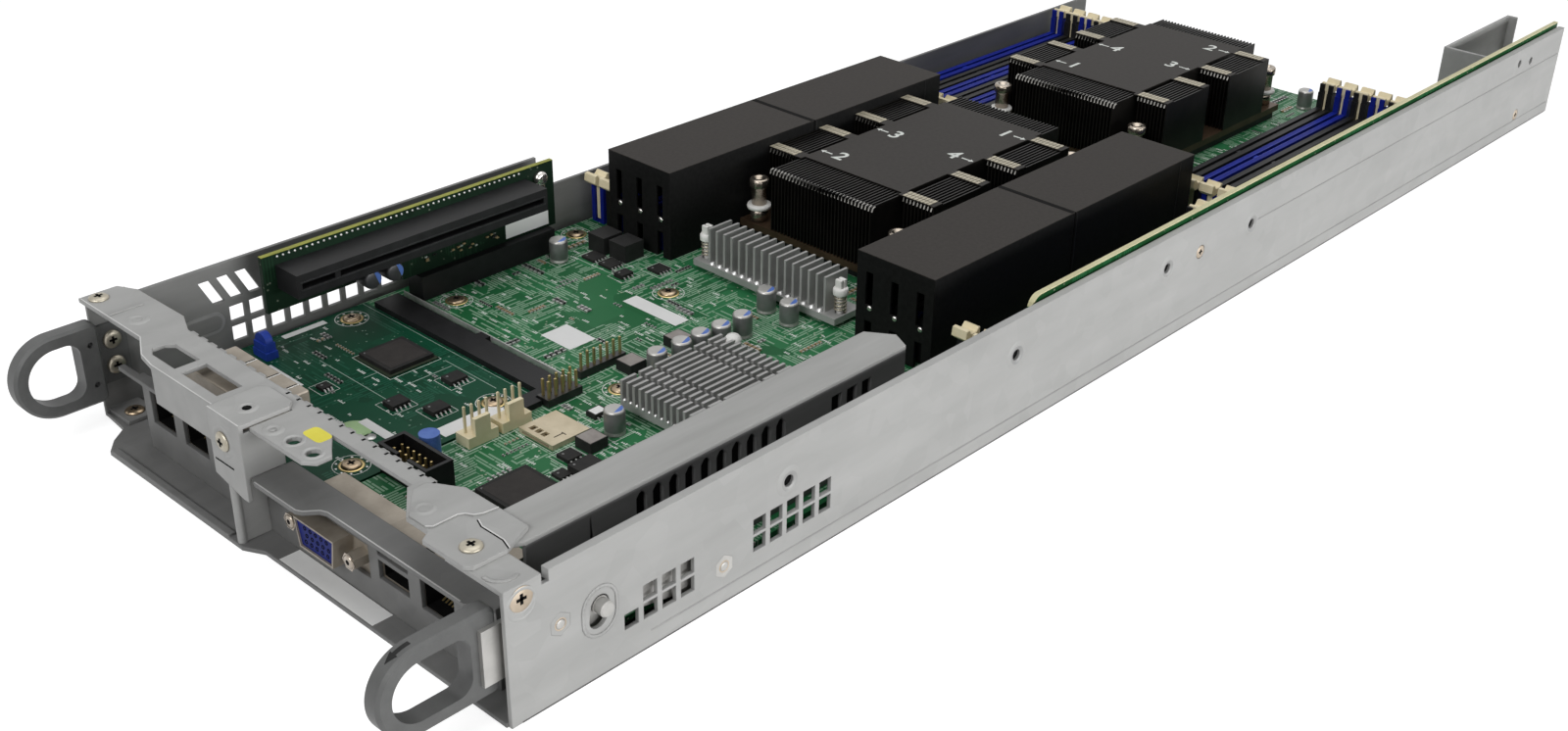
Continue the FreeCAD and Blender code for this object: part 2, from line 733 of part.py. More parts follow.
# Screws, studs and standing posts
def screws():
    heads = [pan_screw_z(x, y, bridge_top, 2 * sheet) for x, y in bridge_screws]
    x, y = foot_screw
    heads.append(pan_screw_z(x, y, 2 * sheet, sheet))
    for z in handle_screw_z:
        heads.append(pan_screw_x(handle_screw_y, z, -inner + sheet, 1, 2 * sheet))
    x, z = clip_screw
    heads.append(join([round_y(x, z, screw_head_r, clip_front - screw_head_height, clip_front, screw_sides),
                       round_y(x, z, screw_shank_r, clip_front, clip_front + 3.0, screw_sides)]))
    y, z = corner_screw
    heads.append(Part.makeCone(screw_shank_r, countersunk_r - 0.1, sheet, V(inner, y, z), V(1, 0, 0)))
    heads.append(flush_screw_x(*bracket_screw, sheet))
    heads.append(flush_screw_x(*side_board_screw, side_board_gap))
    for x, y in board_posts + card_posts:
        heads.append(pan_screw_z(x, y, board_top, board_thickness))
    return heads


def wall_studs():
    return [hexagon_x(y, z, stud_flats, inner, half).cut(round_x(y, z, 1.3, inner, half, screw_sides))
            for y, z in wall_studs_at]


def standoffs():
    posts = []
    for x, y in board_posts + card_posts:
        posts.append(round_z(x, y, post_r, sheet, board_bottom, 6))
    for y, z in [side_board_screw] + side_board_posts:
        spacer = round_x(y, z, post_r, side_board_outer, inner, screw_sides)
        posts.append(spacer.cut(round_x(y, z, screw_hole_r, side_board_outer, inner, screw_sides)))
    return posts


# Boards
def main_board():
    card_back = board_front + card_depth
    outline = [(card_right + board_gap, board_front), (board_right, board_front), (board_right, board_back),
               (board_left, board_back), (board_left, card_back + board_gap),
               (card_right + board_gap, card_back + board_gap)]
    board = prism_z(outline, board_bottom, board_top)
    return board.cut([round_z(x, y, screw_hole_r, board_bottom, board_top, hole_sides)
                      for x, y in board_posts])


def network_card():
    back = board_front + card_depth
    notch_x = panel_left - 2.0
    outline = [(notch_x, board_front), (card_right, board_front), (card_right, back), (board_left, back),
               (board_left, card_notch_back), (notch_x, card_notch_back)]
    card = prism_z(outline, board_bottom, board_top)
    return card.cut([round_z(x, y, screw_hole_r, board_bottom, board_top, hole_sides) for x, y in card_posts])


def riser_card():
    socket_back = riser_socket_y + riser_socket_length
    seat = board_top + riser_socket_height
    tongue = board_top + 2.6
    outline = [(riser_front, riser_top), (riser_front, riser_step_z), (riser_step_y, riser_step_z),
               (riser_step_y, seat), (riser_socket_y + 1.5, seat), (riser_socket_y + 1.5, tongue),
               (socket_back - 1.5, tongue), (socket_back - 1.5, seat), (riser_back, seat),
               (riser_back, riser_top)]
    return prism_x(outline, riser_x - board_thickness / 2.0, riser_x + board_thickness / 2.0)


def riser_socket():
    w = riser_socket_width / 2.0
    y1 = riser_socket_y + riser_socket_length
    body = box(riser_x - w, riser_x + w, riser_socket_y, y1, board_top, board_top + riser_socket_height)
    t = board_thickness / 2.0 + 0.1
    mouth = box(riser_x - t, riser_x + t, riser_socket_y + 1.2, y1 - 1.2, board_top + 2.4,
                board_top + riser_socket_height)
    return body.cut(mouth)


def riser_slot():
    x0 = riser_x + board_thickness / 2.0
    y1 = riser_slot_y + riser_slot_length
    body = box(x0, x0 + riser_slot_reach, riser_slot_y, y1, riser_slot_z, riser_slot_z + riser_slot_height)
    middle = riser_slot_z + riser_slot_height / 2.0
    mouth = box(x0 + 3.0, x0 + riser_slot_reach, riser_slot_y + 1.6, y1 - 1.6, middle - 0.9, middle + 0.9)
    key = box(x0 + 3.0, x0 + riser_slot_reach, riser_slot_y + 12.8, riser_slot_y + 14.6, middle - 0.9,
              middle + 0.9)
    return body.cut(mouth.cut(key))


def side_board():
    board = box(side_board_inner, side_board_outer, side_board_front, tray_length, side_board_drop,
                side_board_top)
    corner = [e for e in board.Edges
              if e.BoundBox.YMax < side_board_front + 0.1 and e.BoundBox.ZMin > side_board_top - 0.1]
    board = board.makeFillet(side_board_corner, corner)
    places = [side_board_screw] + side_board_posts
    return board.cut([round_x(y, z, screw_hole_r, side_board_inner, side_board_outer, hole_sides)
                      for y, z in places])


def side_connector():
    y = board_back - 12.0
    body = box(board_right - 6.0, side_board_inner, y, board_back - 1.0, board_top, board_top + 14.0)
    step = box(board_right - 6.0, board_right - 2.5, y, board_back - 1.0, board_top + 9.0, board_top + 14.0)
    return body.cut(step)


bar_y = 93.6
bar_width = 9.0
bar_height = 1.9
bar_left = board_left + 5.0
bar_right = -5.6
bar_foot_left = -9.0
bar_foot_right = -2.6
bar_foot_front = 84.0
bar_foot_back = 90.4
bar_tab = (-46.0, 4.4, 2.2)


def card_connector():
    # A flat L-shaped housing that joins the network card to the main board.
    top = board_top + bar_height
    back = bar_y + bar_width
    strip = box(bar_left, bar_right, bar_y, back, board_top, top)
    neck = box(bar_foot_left, bar_right, bar_foot_back, bar_y, board_top, top)
    foot = box(bar_foot_left, bar_foot_right, bar_foot_front, bar_foot_back, board_top, top)
    x, width, reach = bar_tab
    tab = box(x - width / 2.0, x + width / 2.0, back, back + reach, board_top, top)
    return join([strip, neck, foot, tab])


# Front connectors
jack_depth = 20.0
port_depth = 13.0
usb_tongue = 1.9


def jack_body(ports, pad, top, depth):
    x0 = min(port[0] for port in ports) - pad
    x1 = max(port[1] for port in ports) + pad
    body = box(x0, x1, panel_back, panel_back + depth, board_top, top)
    pockets = [box(p[0], p[1], panel_back, panel_back + port_depth, p[2], p[3]) for p in ports]
    return body.cut(pockets)


def network_jacks():
    return jack_body(network_ports, 1.8, board_top + 16.2, jack_depth)


def lan_jack():
    return jack_body([lan_port], 1.6, board_top + 15.2, jack_depth)


def usb_stack():
    body = jack_body(usb_ports, 0.9, board_top + 16.0, jack_depth)
    tongues = []
    for x0, x1, z0, z1 in usb_ports:
        mid = (z0 + z1) / 2.0
        tongues.append(box(x0 + 0.6, x1 - 0.6, panel_back + 1.5, panel_back + port_depth, mid + 0.4,
                           mid + 0.4 + usb_tongue))
    return join([body] + tongues)


def vga_connector():
    x, z = vga_middle
    w, h = vga_shell[0] / 2.0, vga_shell[1] / 2.0
    wide, tall = vga_flange[0] / 2.0, vga_flange[1] / 2.0
    flange = box(x - wide, x + wide, panel_back, panel_back + 1.0, z - tall, z + tall)
    body = box(x - wide, x + wide, panel_back + 1.0, panel_back + 14.0, board_top, z + tall - 0.6)
    slope = 1.4
    front = panel_front - 4.6
    trapeze = [(x - w, z + h), (x + w, z + h), (x + w - slope, z - h), (x - w + slope, z - h)]
    inside = [(x - w + 0.5, z + h - 0.5), (x + w - 0.5, z + h - 0.5), (x + w - slope - 0.5, z - h + 0.5),
              (x - w + slope + 0.5, z - h + 0.5)]
    shell = prism_y(trapeze, front, panel_back).cut(prism_y(inside, front, front + 2.0))
    studs = []
    for way in (-1, 1):
        sx = x + way * vga_screw_span / 2.0
        post = round_y(sx, z, 2.4, panel_front - 3.4, panel_back, 6)
        studs.append(post.cut(round_y(sx, z, 1.3, panel_front - 3.4, panel_front, screw_sides)))
    return join([flange, body, shell] + studs)


# Board headers and small pieces
fan_headers_at = [(-1.0, 66.2), (-1.0, 77.9)]
fan_header_pitch = 2.54
pin_size = 0.64


def fan_header(x, y):
    base = box(x - 2.9, x + 2.9, y - 5.1, y + 5.1, board_top, board_top + 3.2)
    back = box(x + 1.5, x + 2.9, y - 2.6, y + 2.6, board_top + 3.2, board_top + 8.4)
    pins = []
    for k in range(4):
        py = y + (k - 1.5) * fan_header_pitch
        pins.append(box(x - 0.9, x - 0.9 + pin_size, py, py + pin_size, board_top + 3.2, board_top + 11.4))
    return join([base, back] + pins)


pin_pitch = 2.54
small_header_at = (-5.2, 90.8)
small_header_columns = 2
small_header_rows = 5
long_header_at = (-9.1, 108.4)
long_header_columns = 1
long_header_rows = 7


def pin_header(x0, y0, columns, rows):
    pitch = pin_pitch
    base = box(x0, x0 + columns * pitch, y0, y0 + rows * pitch, board_top, board_top + 2.5)
    pins = []
    for column in range(columns):
        for row in range(rows):
            px = x0 + (column + 0.5) * pitch - pin_size / 2.0
            py = y0 + (row + 0.5) * pitch - pin_size / 2.0
            pins.append(box(px, px + pin_size, py, py + pin_size, board_top + 2.5, board_top + 7.8))
    return join([base] + pins)


box_header_at = (-6.0, 37.6)
box_header_size = (21.0, 8.8, 9.0)
box_header_wall = 1.1


def box_header():
    x0, y0 = box_header_at
    length, width, height = box_header_size
    body = box(x0, x0 + length, y0, y0 + width, board_top, board_top + height)
    t = box_header_wall
    well = box(x0 + t, x0 + length - t, y0 + t, y0 + width - t, board_top + 2.0, board_top + height)
    notch = box(x0 + length / 2.0 - 2.2, x0 + length / 2.0 + 2.2, y0, y0 + t, board_top + 2.0,
                board_top + height)
    return body.cut([well, notch])


card_socket_at = (4.0, 76.6)
card_socket_size = (14.4, 13.4, 1.6)


def card_socket():
    x, y = card_socket_at
    width, depth, height = card_socket_size
    body = box(x, x + width, y, y + depth, board_top, board_top + height)
    roof = board_top + height - 0.6
    mouth = box(x + 1.6, x + width - 1.6, y, y + depth - 2.4, board_top + 0.4, roof)
    windows = [box(x + 2.2 + 2.5 * k, x + 4.0 + 2.5 * k, y + 1.6, y + 3.8, roof,
                   roof + 0.6) for k in range(3)]
    return body.cut([mouth] + windows)


coin_cell_at = (-2.2, 51.4)
coin_cell_r = 2.9
coin_cell_height = 6.9


def coin_cell():
    x, y = coin_cell_at
    cell = rod_z(x, y, coin_cell_r, board_top + 0.8, board_top + 0.8 + coin_cell_height)
    holder = box(x - 2.0, x + 5.4, y - 1.2, y + 1.2, board_top, board_top + 0.8)
    return cell.fuse(holder).removeSplitter()


jumper_edge_gap = 9.0
jumper_y = 52.2


def jumper_block():
    x = board_left + jumper_edge_gap
    y = jumper_y
    header = box(x - 3.6, x + 3.6, y - 2.0, y + 2.0, board_top, board_top + 2.4)
    cap = box(x - 3.0, x + 3.0, y - 1.8, y + 1.8, board_top + 2.4, board_top + 5.0)
    pull = rod_y(x, board_top + 5.0, 3.0, y - 1.2, y + 1.2)
    return join([header, cap, pull])


capacitor_r = 3.1
capacitor_height = 7.9
capacitor_sides = 16
capacitors_at = [(board_left + 18.9, 157.0), (0.6, 179.2), (11.6, 178.0), (7.0, 162.0), (7.2, 152.6),
                 (6.6, 144.6), (6.6, 136.6),
                 (6.2, 127.0), (23.0, 95.2), (28.0, 473.0)]
riser_capacitors_y = [86.5, 94.6]
riser_capacitor_z = 22.4


def capacitors():
    cans = []
    for x, y in capacitors_at:
        cans.append(round_z(x, y, capacitor_r, board_top, board_top + capacitor_height, capacitor_sides))
    x0 = riser_x + board_thickness / 2.0
    for y in riser_capacitors_y:
        cans.append(round_x(y, riser_capacitor_z, capacitor_r, x0, x0 + capacitor_height, capacitor_sides))
    return cans


chokes_at = [(board_left + 22.7, 174.2), (board_left + 32.3, 175.0)]
choke_height = 6.2
small_chokes_at = [(24.1, 85.7), (-1.0, 123.2), (-2.3, 143.6)]
small_choke_side = 6.4
small_choke_height = 3.3


def chokes():
    blocks = []
    for x, y in chokes_at:
        blocks.append(box(x - 3.9, x + 3.9, y - 4.2, y + 4.2, board_top, board_top + choke_height))
    h = small_choke_side / 2.0
    for x, y in small_chokes_at:
        blocks.append(box(x - h, x + h, y - h, y + h, board_top, board_top + small_choke_height))
    return blocks


# Chip bodies: middle x, middle y, size along x, size along y, height
chip_bodies = [(-55.1, 78.4, 15.6, 15.6, 1.7), (29.0, 57.0, 17.0, 17.0, 1.6), (-32.3, 61.9, 5.0, 6.0, 1.5),
               (-32.2, 82.2, 5.0, 6.0, 1.5), (-21.6, 67.9, 5.0, 6.0, 1.5), (-54.8, 53.0, 3.4, 3.4, 1.0),
               (-66.9, 166.4, 6.0, 5.6, 1.0), (-58.9, 166.6, 6.0, 5.6, 1.0), (-49.8, 164.2, 4.0, 5.0, 1.5),
               (-44.9, 175.5, 5.6, 5.6, 0.9),
               (12.2, 98.2, 4.0, 5.0, 1.6), (24.2, 77.6, 5.0, 5.0, 1.2), (34.0, 76.0, 8.0, 8.0, 2.8),
               (38.0, 90.0, 7.0, 5.0, 2.4), (30.0, 70.0, 4.0, 4.0, 1.0), (48.0, 86.0, 6.0, 9.0, 1.2)]


def chips():
    return [box(x - a / 2.0, x + a / 2.0, y - b / 2.0, y + b / 2.0, board_top, board_top + h)
            for x, y, a, b, h in chip_bodies]


# Heat sinks
def comb(x0, count, pitch, fin, base_z, base_top, top):
    # The section of a row of fins standing on a base, as one outline.
    points = [(x0, base_z)]
    width = (count - 1) * pitch + fin
    points.append((x0 + width, base_z))
    for k in range(count - 1, -1, -1):
        left = x0 + k * pitch
        points.append((left + fin, top))
        points.append((left, top))
        if k > 0:
            points.append((left, base_top))
            points.append((left - pitch + fin, base_top))
    return points


def processor_sink(front):
    # A vapour-base sink: full-length core fins under a lid, and side fins notched for the nuts.
    base = box(sink_left, sink_right, front, front + sink_length, sink_bottom, sink_base_top)
    fin_top = sink_top - sink_lid
    core_count = int(sink_core_width / sink_pitch)
    core_width = (core_count - 1) * sink_pitch + sink_fin
    core_x = sink_x - core_width / 2.0
    floor = sink_base_top - 0.5
    core = comb(core_x, core_count, sink_pitch, sink_fin, floor, sink_base_top, fin_top)
    lid_front, lid_back = front + lid_front_inset, front + sink_length - lid_back_inset
    pieces = [base, prism_y(core, front, front + sink_length), box(core_x, core_x + core_width, lid_front,
                                                                   lid_back, fin_top, sink_top)]
    wing_width = (sink_width - core_width) / 2.0 - 0.6
    wing_count = int(wing_width / sink_pitch)
    wing_span = (wing_count - 1) * sink_pitch + sink_fin
    middle = front + sink_length / 2.0
    blocks = [(front + wing_inset, middle - wing_notch / 2.0),
              (middle + wing_notch / 2.0, front + sink_length - wing_inset)]
    # Each wing: where its fins start, and the span of the bridging strips at the ends of its blocks.
    wings = [(sink_left, sink_left, core_x + sink_fin),
             (sink_right - wing_span, core_x + core_width - sink_fin, sink_right)]
    for fins_x, strip_x0, strip_x1 in wings:
        for y0, y1 in blocks:
            pieces.append(prism_y(comb(fins_x, wing_count, sink_pitch, sink_fin, floor, sink_base_top,
                                       fin_top), y0, y1))
            for ys in (y0, y1 - strip_length):
                pieces.append(box(strip_x0, strip_x1, ys, ys + strip_length, fin_top, sink_top))
    return join(pieces)


def heat_sink_nuts():
    nuts = []
    for front in (front_sink_y, rear_sink_y):
        middle = front + sink_length / 2.0
        for way_x in (-1, 1):
            for way_y in (-1, 1):
                z = sink_base_top
                top = z + nut_height
                levels = [(nut_r, z, z + 4.5), (nut_r + 1.3, z + 4.5, z + 6.0),
                          (nut_r - 0.4, z + 6.0, top - 3.2),
                          (nut_r + 0.5, top - 3.2, top)]
                x = sink_x + way_x * (sink_width / 2.0 - nut_inset_x)
                nuts.append(stacked_z(x, middle + way_y * (sink_length / 2.0 - nut_inset_y), levels,
                                      screw_sides))
    return nuts


processor_size = (sink_core_width, 62.0)


def processor_sockets():
    frames = []
    for front in (front_sink_y, rear_sink_y):
        frame = box(sink_left + 1.0, sink_right - 1.0, front + 2.0, front + sink_length - 2.0, board_top,
                    sink_bottom)
        middle = front + sink_length / 2.0
        w, d = processor_size[0] / 2.0 + fit_gap, processor_size[1] / 2.0 + fit_gap
        frames.append(frame.cut(box(sink_x - w, sink_x + w, middle - d, middle + d, board_top, sink_bottom)))
    return frames


def processors():
    chips_in = []
    for front in (front_sink_y, rear_sink_y):
        middle = front + sink_length / 2.0
        w, d = processor_size[0] / 2.0, processor_size[1] / 2.0
        carrier = box(sink_x - w, sink_x + w, middle - d, middle + d, board_top, board_top + 1.4)
        lid = box(sink_x - w + 5.0, sink_x + w - 5.0, middle - d + 5.0, middle + d - 5.0, board_top + 1.4,
                  sink_bottom)
        chips_in.append(carrier.fuse(lid).removeSplitter())
    return chips_in


chipset_sink = (15.2, 104.4)
chipset_fins = 16
chipset_pitch = 2.55
chipset_fin = 1.0
chipset_depth = 40.0
chipset_pad = 1.6
chipset_base = 2.2
chipset_height = 10.2
chipset_cuts_at = [5.6, 11.8, 27.4, 33.1]
chipset_cut_width = 1.4


def chipset_heat_sink():
    x0, y0 = chipset_sink
    z0 = board_top + chipset_pad
    top = board_top + chipset_height
    body = prism_y(comb(x0, chipset_fins, chipset_pitch, chipset_fin, z0, z0 + chipset_base, top), y0,
                   y0 + chipset_depth)
    width = (chipset_fins - 1) * chipset_pitch + chipset_fin
    cuts = []
    for place in chipset_cuts_at:
        y = y0 + place
        cuts.append(box(x0, x0 + width, y, y + chipset_cut_width, z0 + chipset_base, top))
    die = box(x0 + 6.0, x0 + width - 6.0, y0 + 10.0, y0 + chipset_depth - 10.0, board_top, z0)
    return body.cut(cuts).fuse(die).removeSplitter()


tall_sink_side_gap = 9.6
left_shroud_x = left_slots[2] - slot_width / 2.0 - fit_gap - shroud_wall
right_shroud_x = right_slots[3] + slot_width / 2.0 + right_shroud_gap + shroud_wall - shroud_width
tall_sink_x = left_shroud_x + shroud_width + tall_sink_side_gap
tall_sink_width = right_shroud_x - tall_sink_side_gap - tall_sink_x
tall_sink_y = 184.6
tall_sink_depth = 12.6
tall_sink_pad = 1.5
tall_sink_base = 2.2
tall_sink_height = 15.7
tall_fins = 16
tall_fin = 0.9
tall_fin_margin = 5.4
push_pin_inset = 2.4
push_pin_front = 4.2
push_pin_r = 1.6


def tall_heat_sink():
    x0, x1 = tall_sink_x, tall_sink_x + tall_sink_width
    z0 = board_top + tall_sink_pad
    z1 = z0 + tall_sink_base
    base = box(x0, x1, tall_sink_y, tall_sink_y + tall_sink_depth, z0, z1)
    span = tall_sink_width - 2 * tall_fin_margin
    pitch = (span - tall_fin) / (tall_fins - 1)
    fins = prism_y(comb(x0 + tall_fin_margin, tall_fins, pitch, tall_fin, z1 - 0.4, z1,
                        board_top + tall_sink_height),
                   tall_sink_y + 1.6, tall_sink_y + tall_sink_depth - 0.8)
    pads = box(x0 + 8.0, x1 - 8.0, tall_sink_y + 2.0, tall_sink_y + tall_sink_depth - 2.0, board_top, z0)
    sink = join([base, fins, pads])
    return sink.cut([round_z(x, y, push_pin_r + 0.1, z0, z1, screw_sides) for x, y in push_pins_at()])


def push_pins_at():
    x0, x1 = tall_sink_x + push_pin_inset, tall_sink_x + tall_sink_width - push_pin_inset
    return [(x0, tall_sink_y + push_pin_front), (x1, tall_sink_y + tall_sink_depth / 2.0 - 1.0)]


def push_pins():
    z1 = board_top + tall_sink_pad + tall_sink_base
    pins = []
    for x, y in push_pins_at():
        levels = [(push_pin_r, board_top, z1), (push_pin_r + 0.5, z1, z1 + 6.4),
                  (push_pin_r + 0.9, z1 + 6.4, z1 + 8.6),
                  (push_pin_r - 0.1, z1 + 8.6, z1 + 11.4)]
        pins.append(stacked_z(x, y, levels, screw_sides))
    return pins


# Memory slots and their latches
tower_top = board_top + tower_height
latch_pivot_z = board_top + latch_pivot_drop
latch_pivot_in = 1.7


def memory_slot(x, y0):
    y1 = y0 + slot_span
    w = slot_width / 2.0
    rail = box(x - w, x + w, y0, y1, board_top, board_top + slot_height)
    towers = [box(x - w, x + w, y0, y0 + tower_length, board_top, tower_top),
              box(x - w, x + w, y1 - tower_length, y1, board_top, tower_top)]
    slot = join([rail] + towers)
    c = channel_width / 2.0
    depth = latch_pivot_in + latch_stem / 2.0 + latch_play
    low = latch_pivot_z - latch_stem / 2.0 - latch_play
    k = key_width / 2.0
    cuts = [box(x - c, x + c, y0, y0 + depth, low, tower_top),
            box(x - c, x + c, y1 - depth, y1, low, tower_top),
            box(x - k, x + k, y0 + depth, y1 - depth, board_top + slot_height - key_depth, tower_top)]
    return slot.cut(cuts)


# The front banks hold five slots a side; the three inner ones are under a shroud.
left_front_gap = 5
right_front_gap = 2
exposed_slots = 2


def slots_at(colour):
    places = []
    for bank_y in (front_bank_y, rear_bank_y):
        for side, gap in ((left_slots, left_front_gap), (right_slots, right_front_gap)):
            for index, x in enumerate(side):
                if bank_y == front_bank_y and index == gap:
                    continue
                if index % 2 == colour:
                    places.append((x, bank_y))
    return places


def latch(x, face, way):
    # way is -1 at the near end of a slot, where the latch opens towards the front, and +1 at the far end.
    pivot_y = face - way * latch_pivot_in
    s = latch_stem / 2.0
    w = channel_width / 2.0 - latch_play / 2.0
    head_low = tower_top + fit_gap
    head_top = head_low + latch_head_height
    stem_y = sorted((pivot_y - s, pivot_y + s))
    stem = box(x - w, x + w, stem_y[0], stem_y[1], latch_pivot_z, head_low)
    foot = round_x(pivot_y, latch_pivot_z, s, x - w, x + w, hole_sides)
    tip = face + way * latch_head_reach
    back = face - way * (tower_length - 1.2)
    h = latch_head_width / 2.0
    profile = [(tip, head_low + 1.2), (tip, head_top), (back + way * 1.4, head_top), (back, head_low + 1.2),
               (back, head_low),
               (tip - way * 1.6, head_low)]
    head = prism_x(profile, x - h, x + h)
    return join([stem, foot, head])


def latch_row(side, bank_y, way):
    face = bank_y if way < 0 else bank_y + slot_span
    row = []
    shown = side[:exposed_slots] if bank_y == front_bank_y else side
    for x in shown:
        row.append(latch(x, face, way))
    return row


# Shrouds
shroud_grooves = 3
groove_width = 2.8
groove_top = 6.0
groove_length = 11.0


def shroud(x0, y0, front_end):
    x1, y1 = x0 + shroud_width, y0 + shroud_length
    top = board_top + shroud_height
    shell = box(x0, x1, y0, y1, board_top, top)
    t = shroud_wall
    # Only the outer end of each box is closed: the two boxes of a side meet open-ended.
    inner_y0 = y0 + t if front_end else y0
    inner_y1 = y1 if front_end else y1 - t
    shell = shell.cut(box(x0 + t, x1 - t, inner_y0, inner_y1, board_top, top - t))
    cuts = []
    end0, end1 = (y0, y0 + t) if front_end else (y1 - t, y1)
    step = shroud_width / shroud_grooves
    g = groove_width / 2.0
    for k in range(shroud_grooves):
        x = x0 + (k + 0.5) * step
        if front_end:
            cuts.append(box(x - g, x + g, end0, end1, top - groove_top - groove_length, top - groove_top))
        cuts.append(box(x - g, x + g, end0, end1, board_top, board_top + 9.0))
    return shell.cut(cuts)


def save_all():
    save("floor_pan", floor_pan())
    save("left_wall", left_wall())
    save("right_wall", right_wall())
    save("io_panel", io_panel())
    save("front_bridge", front_bridge())
    save("centre_clip", centre_clip())
    save("air_guide_rail", air_guide_rail())
    save("far_bracket", far_bracket())
    save("left_handle", left_handle())
    save("lever_handle", lever_handle())
    save("lever_arm", lever_arm())
    save("lever_pivot", lever_pivot())
    save("latch_pin", latch_pin())
    save("lever_spring", lever_spring())
    save("screws", screws())
    save("wall_studs", wall_studs())
    save("standoffs", standoffs())
    save("main_board", main_board())
    save("network_card", network_card())
    save("riser_card", riser_card())
    save("riser_socket", riser_socket())
    save("riser_slot", riser_slot())
    save("side_board", side_board())
    save("side_connector", side_connector())
    save("card_connector", card_connector())
    save("network_jacks", network_jacks())
    save("lan_jack", lan_jack())
    save("usb_stack", usb_stack())
    save("vga_connector", vga_connector())
    save("fan_headers", [fan_header(x, y) for x, y in fan_headers_at])
    small = pin_header(*small_header_at, small_header_columns, small_header_rows)
    save("pin_headers", [small, pin_header(*long_header_at, long_header_columns, long_header_rows)])
    save("box_header", box_header())
    save("card_socket", card_socket())
    save("coin_cell", coin_cell())
    save("jumper_block", jumper_block())
    save("capacitors", capacitors())
    save("chokes", chokes())
    save("chips", chips())
    save("front_heat_sink", processor_sink(front_sink_y))
    save("rear_heat_sink", processor_sink(rear_sink_y))
    save("heat_sink_nuts", heat_sink_nuts())
    save("processor_sockets", processor_sockets())
    save("processors", processors())
    save("chipset_heat_sink", chipset_heat_sink())
    save("tall_heat_sink", tall_heat_sink())
    save("push_pins", push_pins())
    save("blue_memory_slots", [memory_slot(x, y) for x, y in slots_at(0)])
    save("black_memory_slots", [memory_slot(x, y) for x, y in slots_at(1)])
    sides = (("left", left_slots), ("right", right_slots))
    banks = (("front", front_bank_y), ("rear", rear_bank_y))
    for bank_name, bank_y in banks:
        for side_name, side in sides:
            for end_name, way in (("near", -1), ("far", 1)):
                save("_".join((bank_name, side_name, end_name, "latches")), latch_row(side, bank_y, way))
    back_y = shroud_front + shroud_length + shroud_seam
    for side_name, x0 in (("left", left_shroud_x), ("right", right_shroud_x)):
        save(side_name + "_front_shroud", shroud(x0, shroud_front, True))
        save(side_name + "_back_shroud", shroud(x0, back_y, False))


save_all()
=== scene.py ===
import itertools
import math
import random

import bmesh
import bpy
from mathutils import Matrix, Vector


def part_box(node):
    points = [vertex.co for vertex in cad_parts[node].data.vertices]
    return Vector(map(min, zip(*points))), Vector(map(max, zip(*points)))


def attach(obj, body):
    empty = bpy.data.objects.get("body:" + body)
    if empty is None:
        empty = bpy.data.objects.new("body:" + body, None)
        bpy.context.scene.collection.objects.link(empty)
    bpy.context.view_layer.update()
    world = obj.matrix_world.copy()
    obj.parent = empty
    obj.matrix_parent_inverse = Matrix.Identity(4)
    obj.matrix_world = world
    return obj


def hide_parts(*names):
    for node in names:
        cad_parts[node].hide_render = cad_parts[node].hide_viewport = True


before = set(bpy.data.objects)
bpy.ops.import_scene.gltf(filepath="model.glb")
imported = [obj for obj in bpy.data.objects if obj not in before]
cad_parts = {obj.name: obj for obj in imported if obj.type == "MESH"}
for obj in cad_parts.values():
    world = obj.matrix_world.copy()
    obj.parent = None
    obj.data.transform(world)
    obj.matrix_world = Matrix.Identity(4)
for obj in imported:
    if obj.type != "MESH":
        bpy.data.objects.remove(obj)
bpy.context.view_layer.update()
MM = 0.001
TRAY = "tray"
BLACK = (0.0, 0.0, 0.0, 1.0)
WHITE = (1.0, 1.0, 1.0, 1.0)


def link(thing):
    bpy.context.scene.collection.objects.link(thing)
    return thing


# Camera, light and floor
PHOTO_WIDTH = 1600.0
PHOTO_HEIGHT = 746.0
FOCAL_PIXELS = 1819.48
PRINCIPAL_POINT = (838.47, 383.29)
CAMERA_PLACE_MM = (348.47, -186.57, 261.71)
CAMERA_YAW = math.radians(41.495)
CAMERA_PITCH = math.radians(28.876)
CAMERA_ROLL = math.radians(1.742)
SENSOR_WIDTH_MM = 36.0
# Lamps: name, place, aim and size in metres, then power
LAMPS = (("right_low", (1.55, 0.30, 0.20), (0.09, 0.27, 0.02), (1.5, 0.3), 19.0),
         ("front_high", (0.25, -1.15, 0.95), (0.0, 0.1, 0.02), (0.9, 0.6), 11.0),
         ("overhead", (0.0, 0.42, 1.30), (0.0, 0.3, 0.0), (1.2, 1.2), 7.5))
FILL_COLOR, FILL_STRENGTH = (0.93, 0.96, 1.0, 1.0), 0.11
FLOOR_COLOR, FLOOR_GLOW, FLOOR_HALF = (0.50, 0.50, 0.50, 1.0), 0.78, 4.0


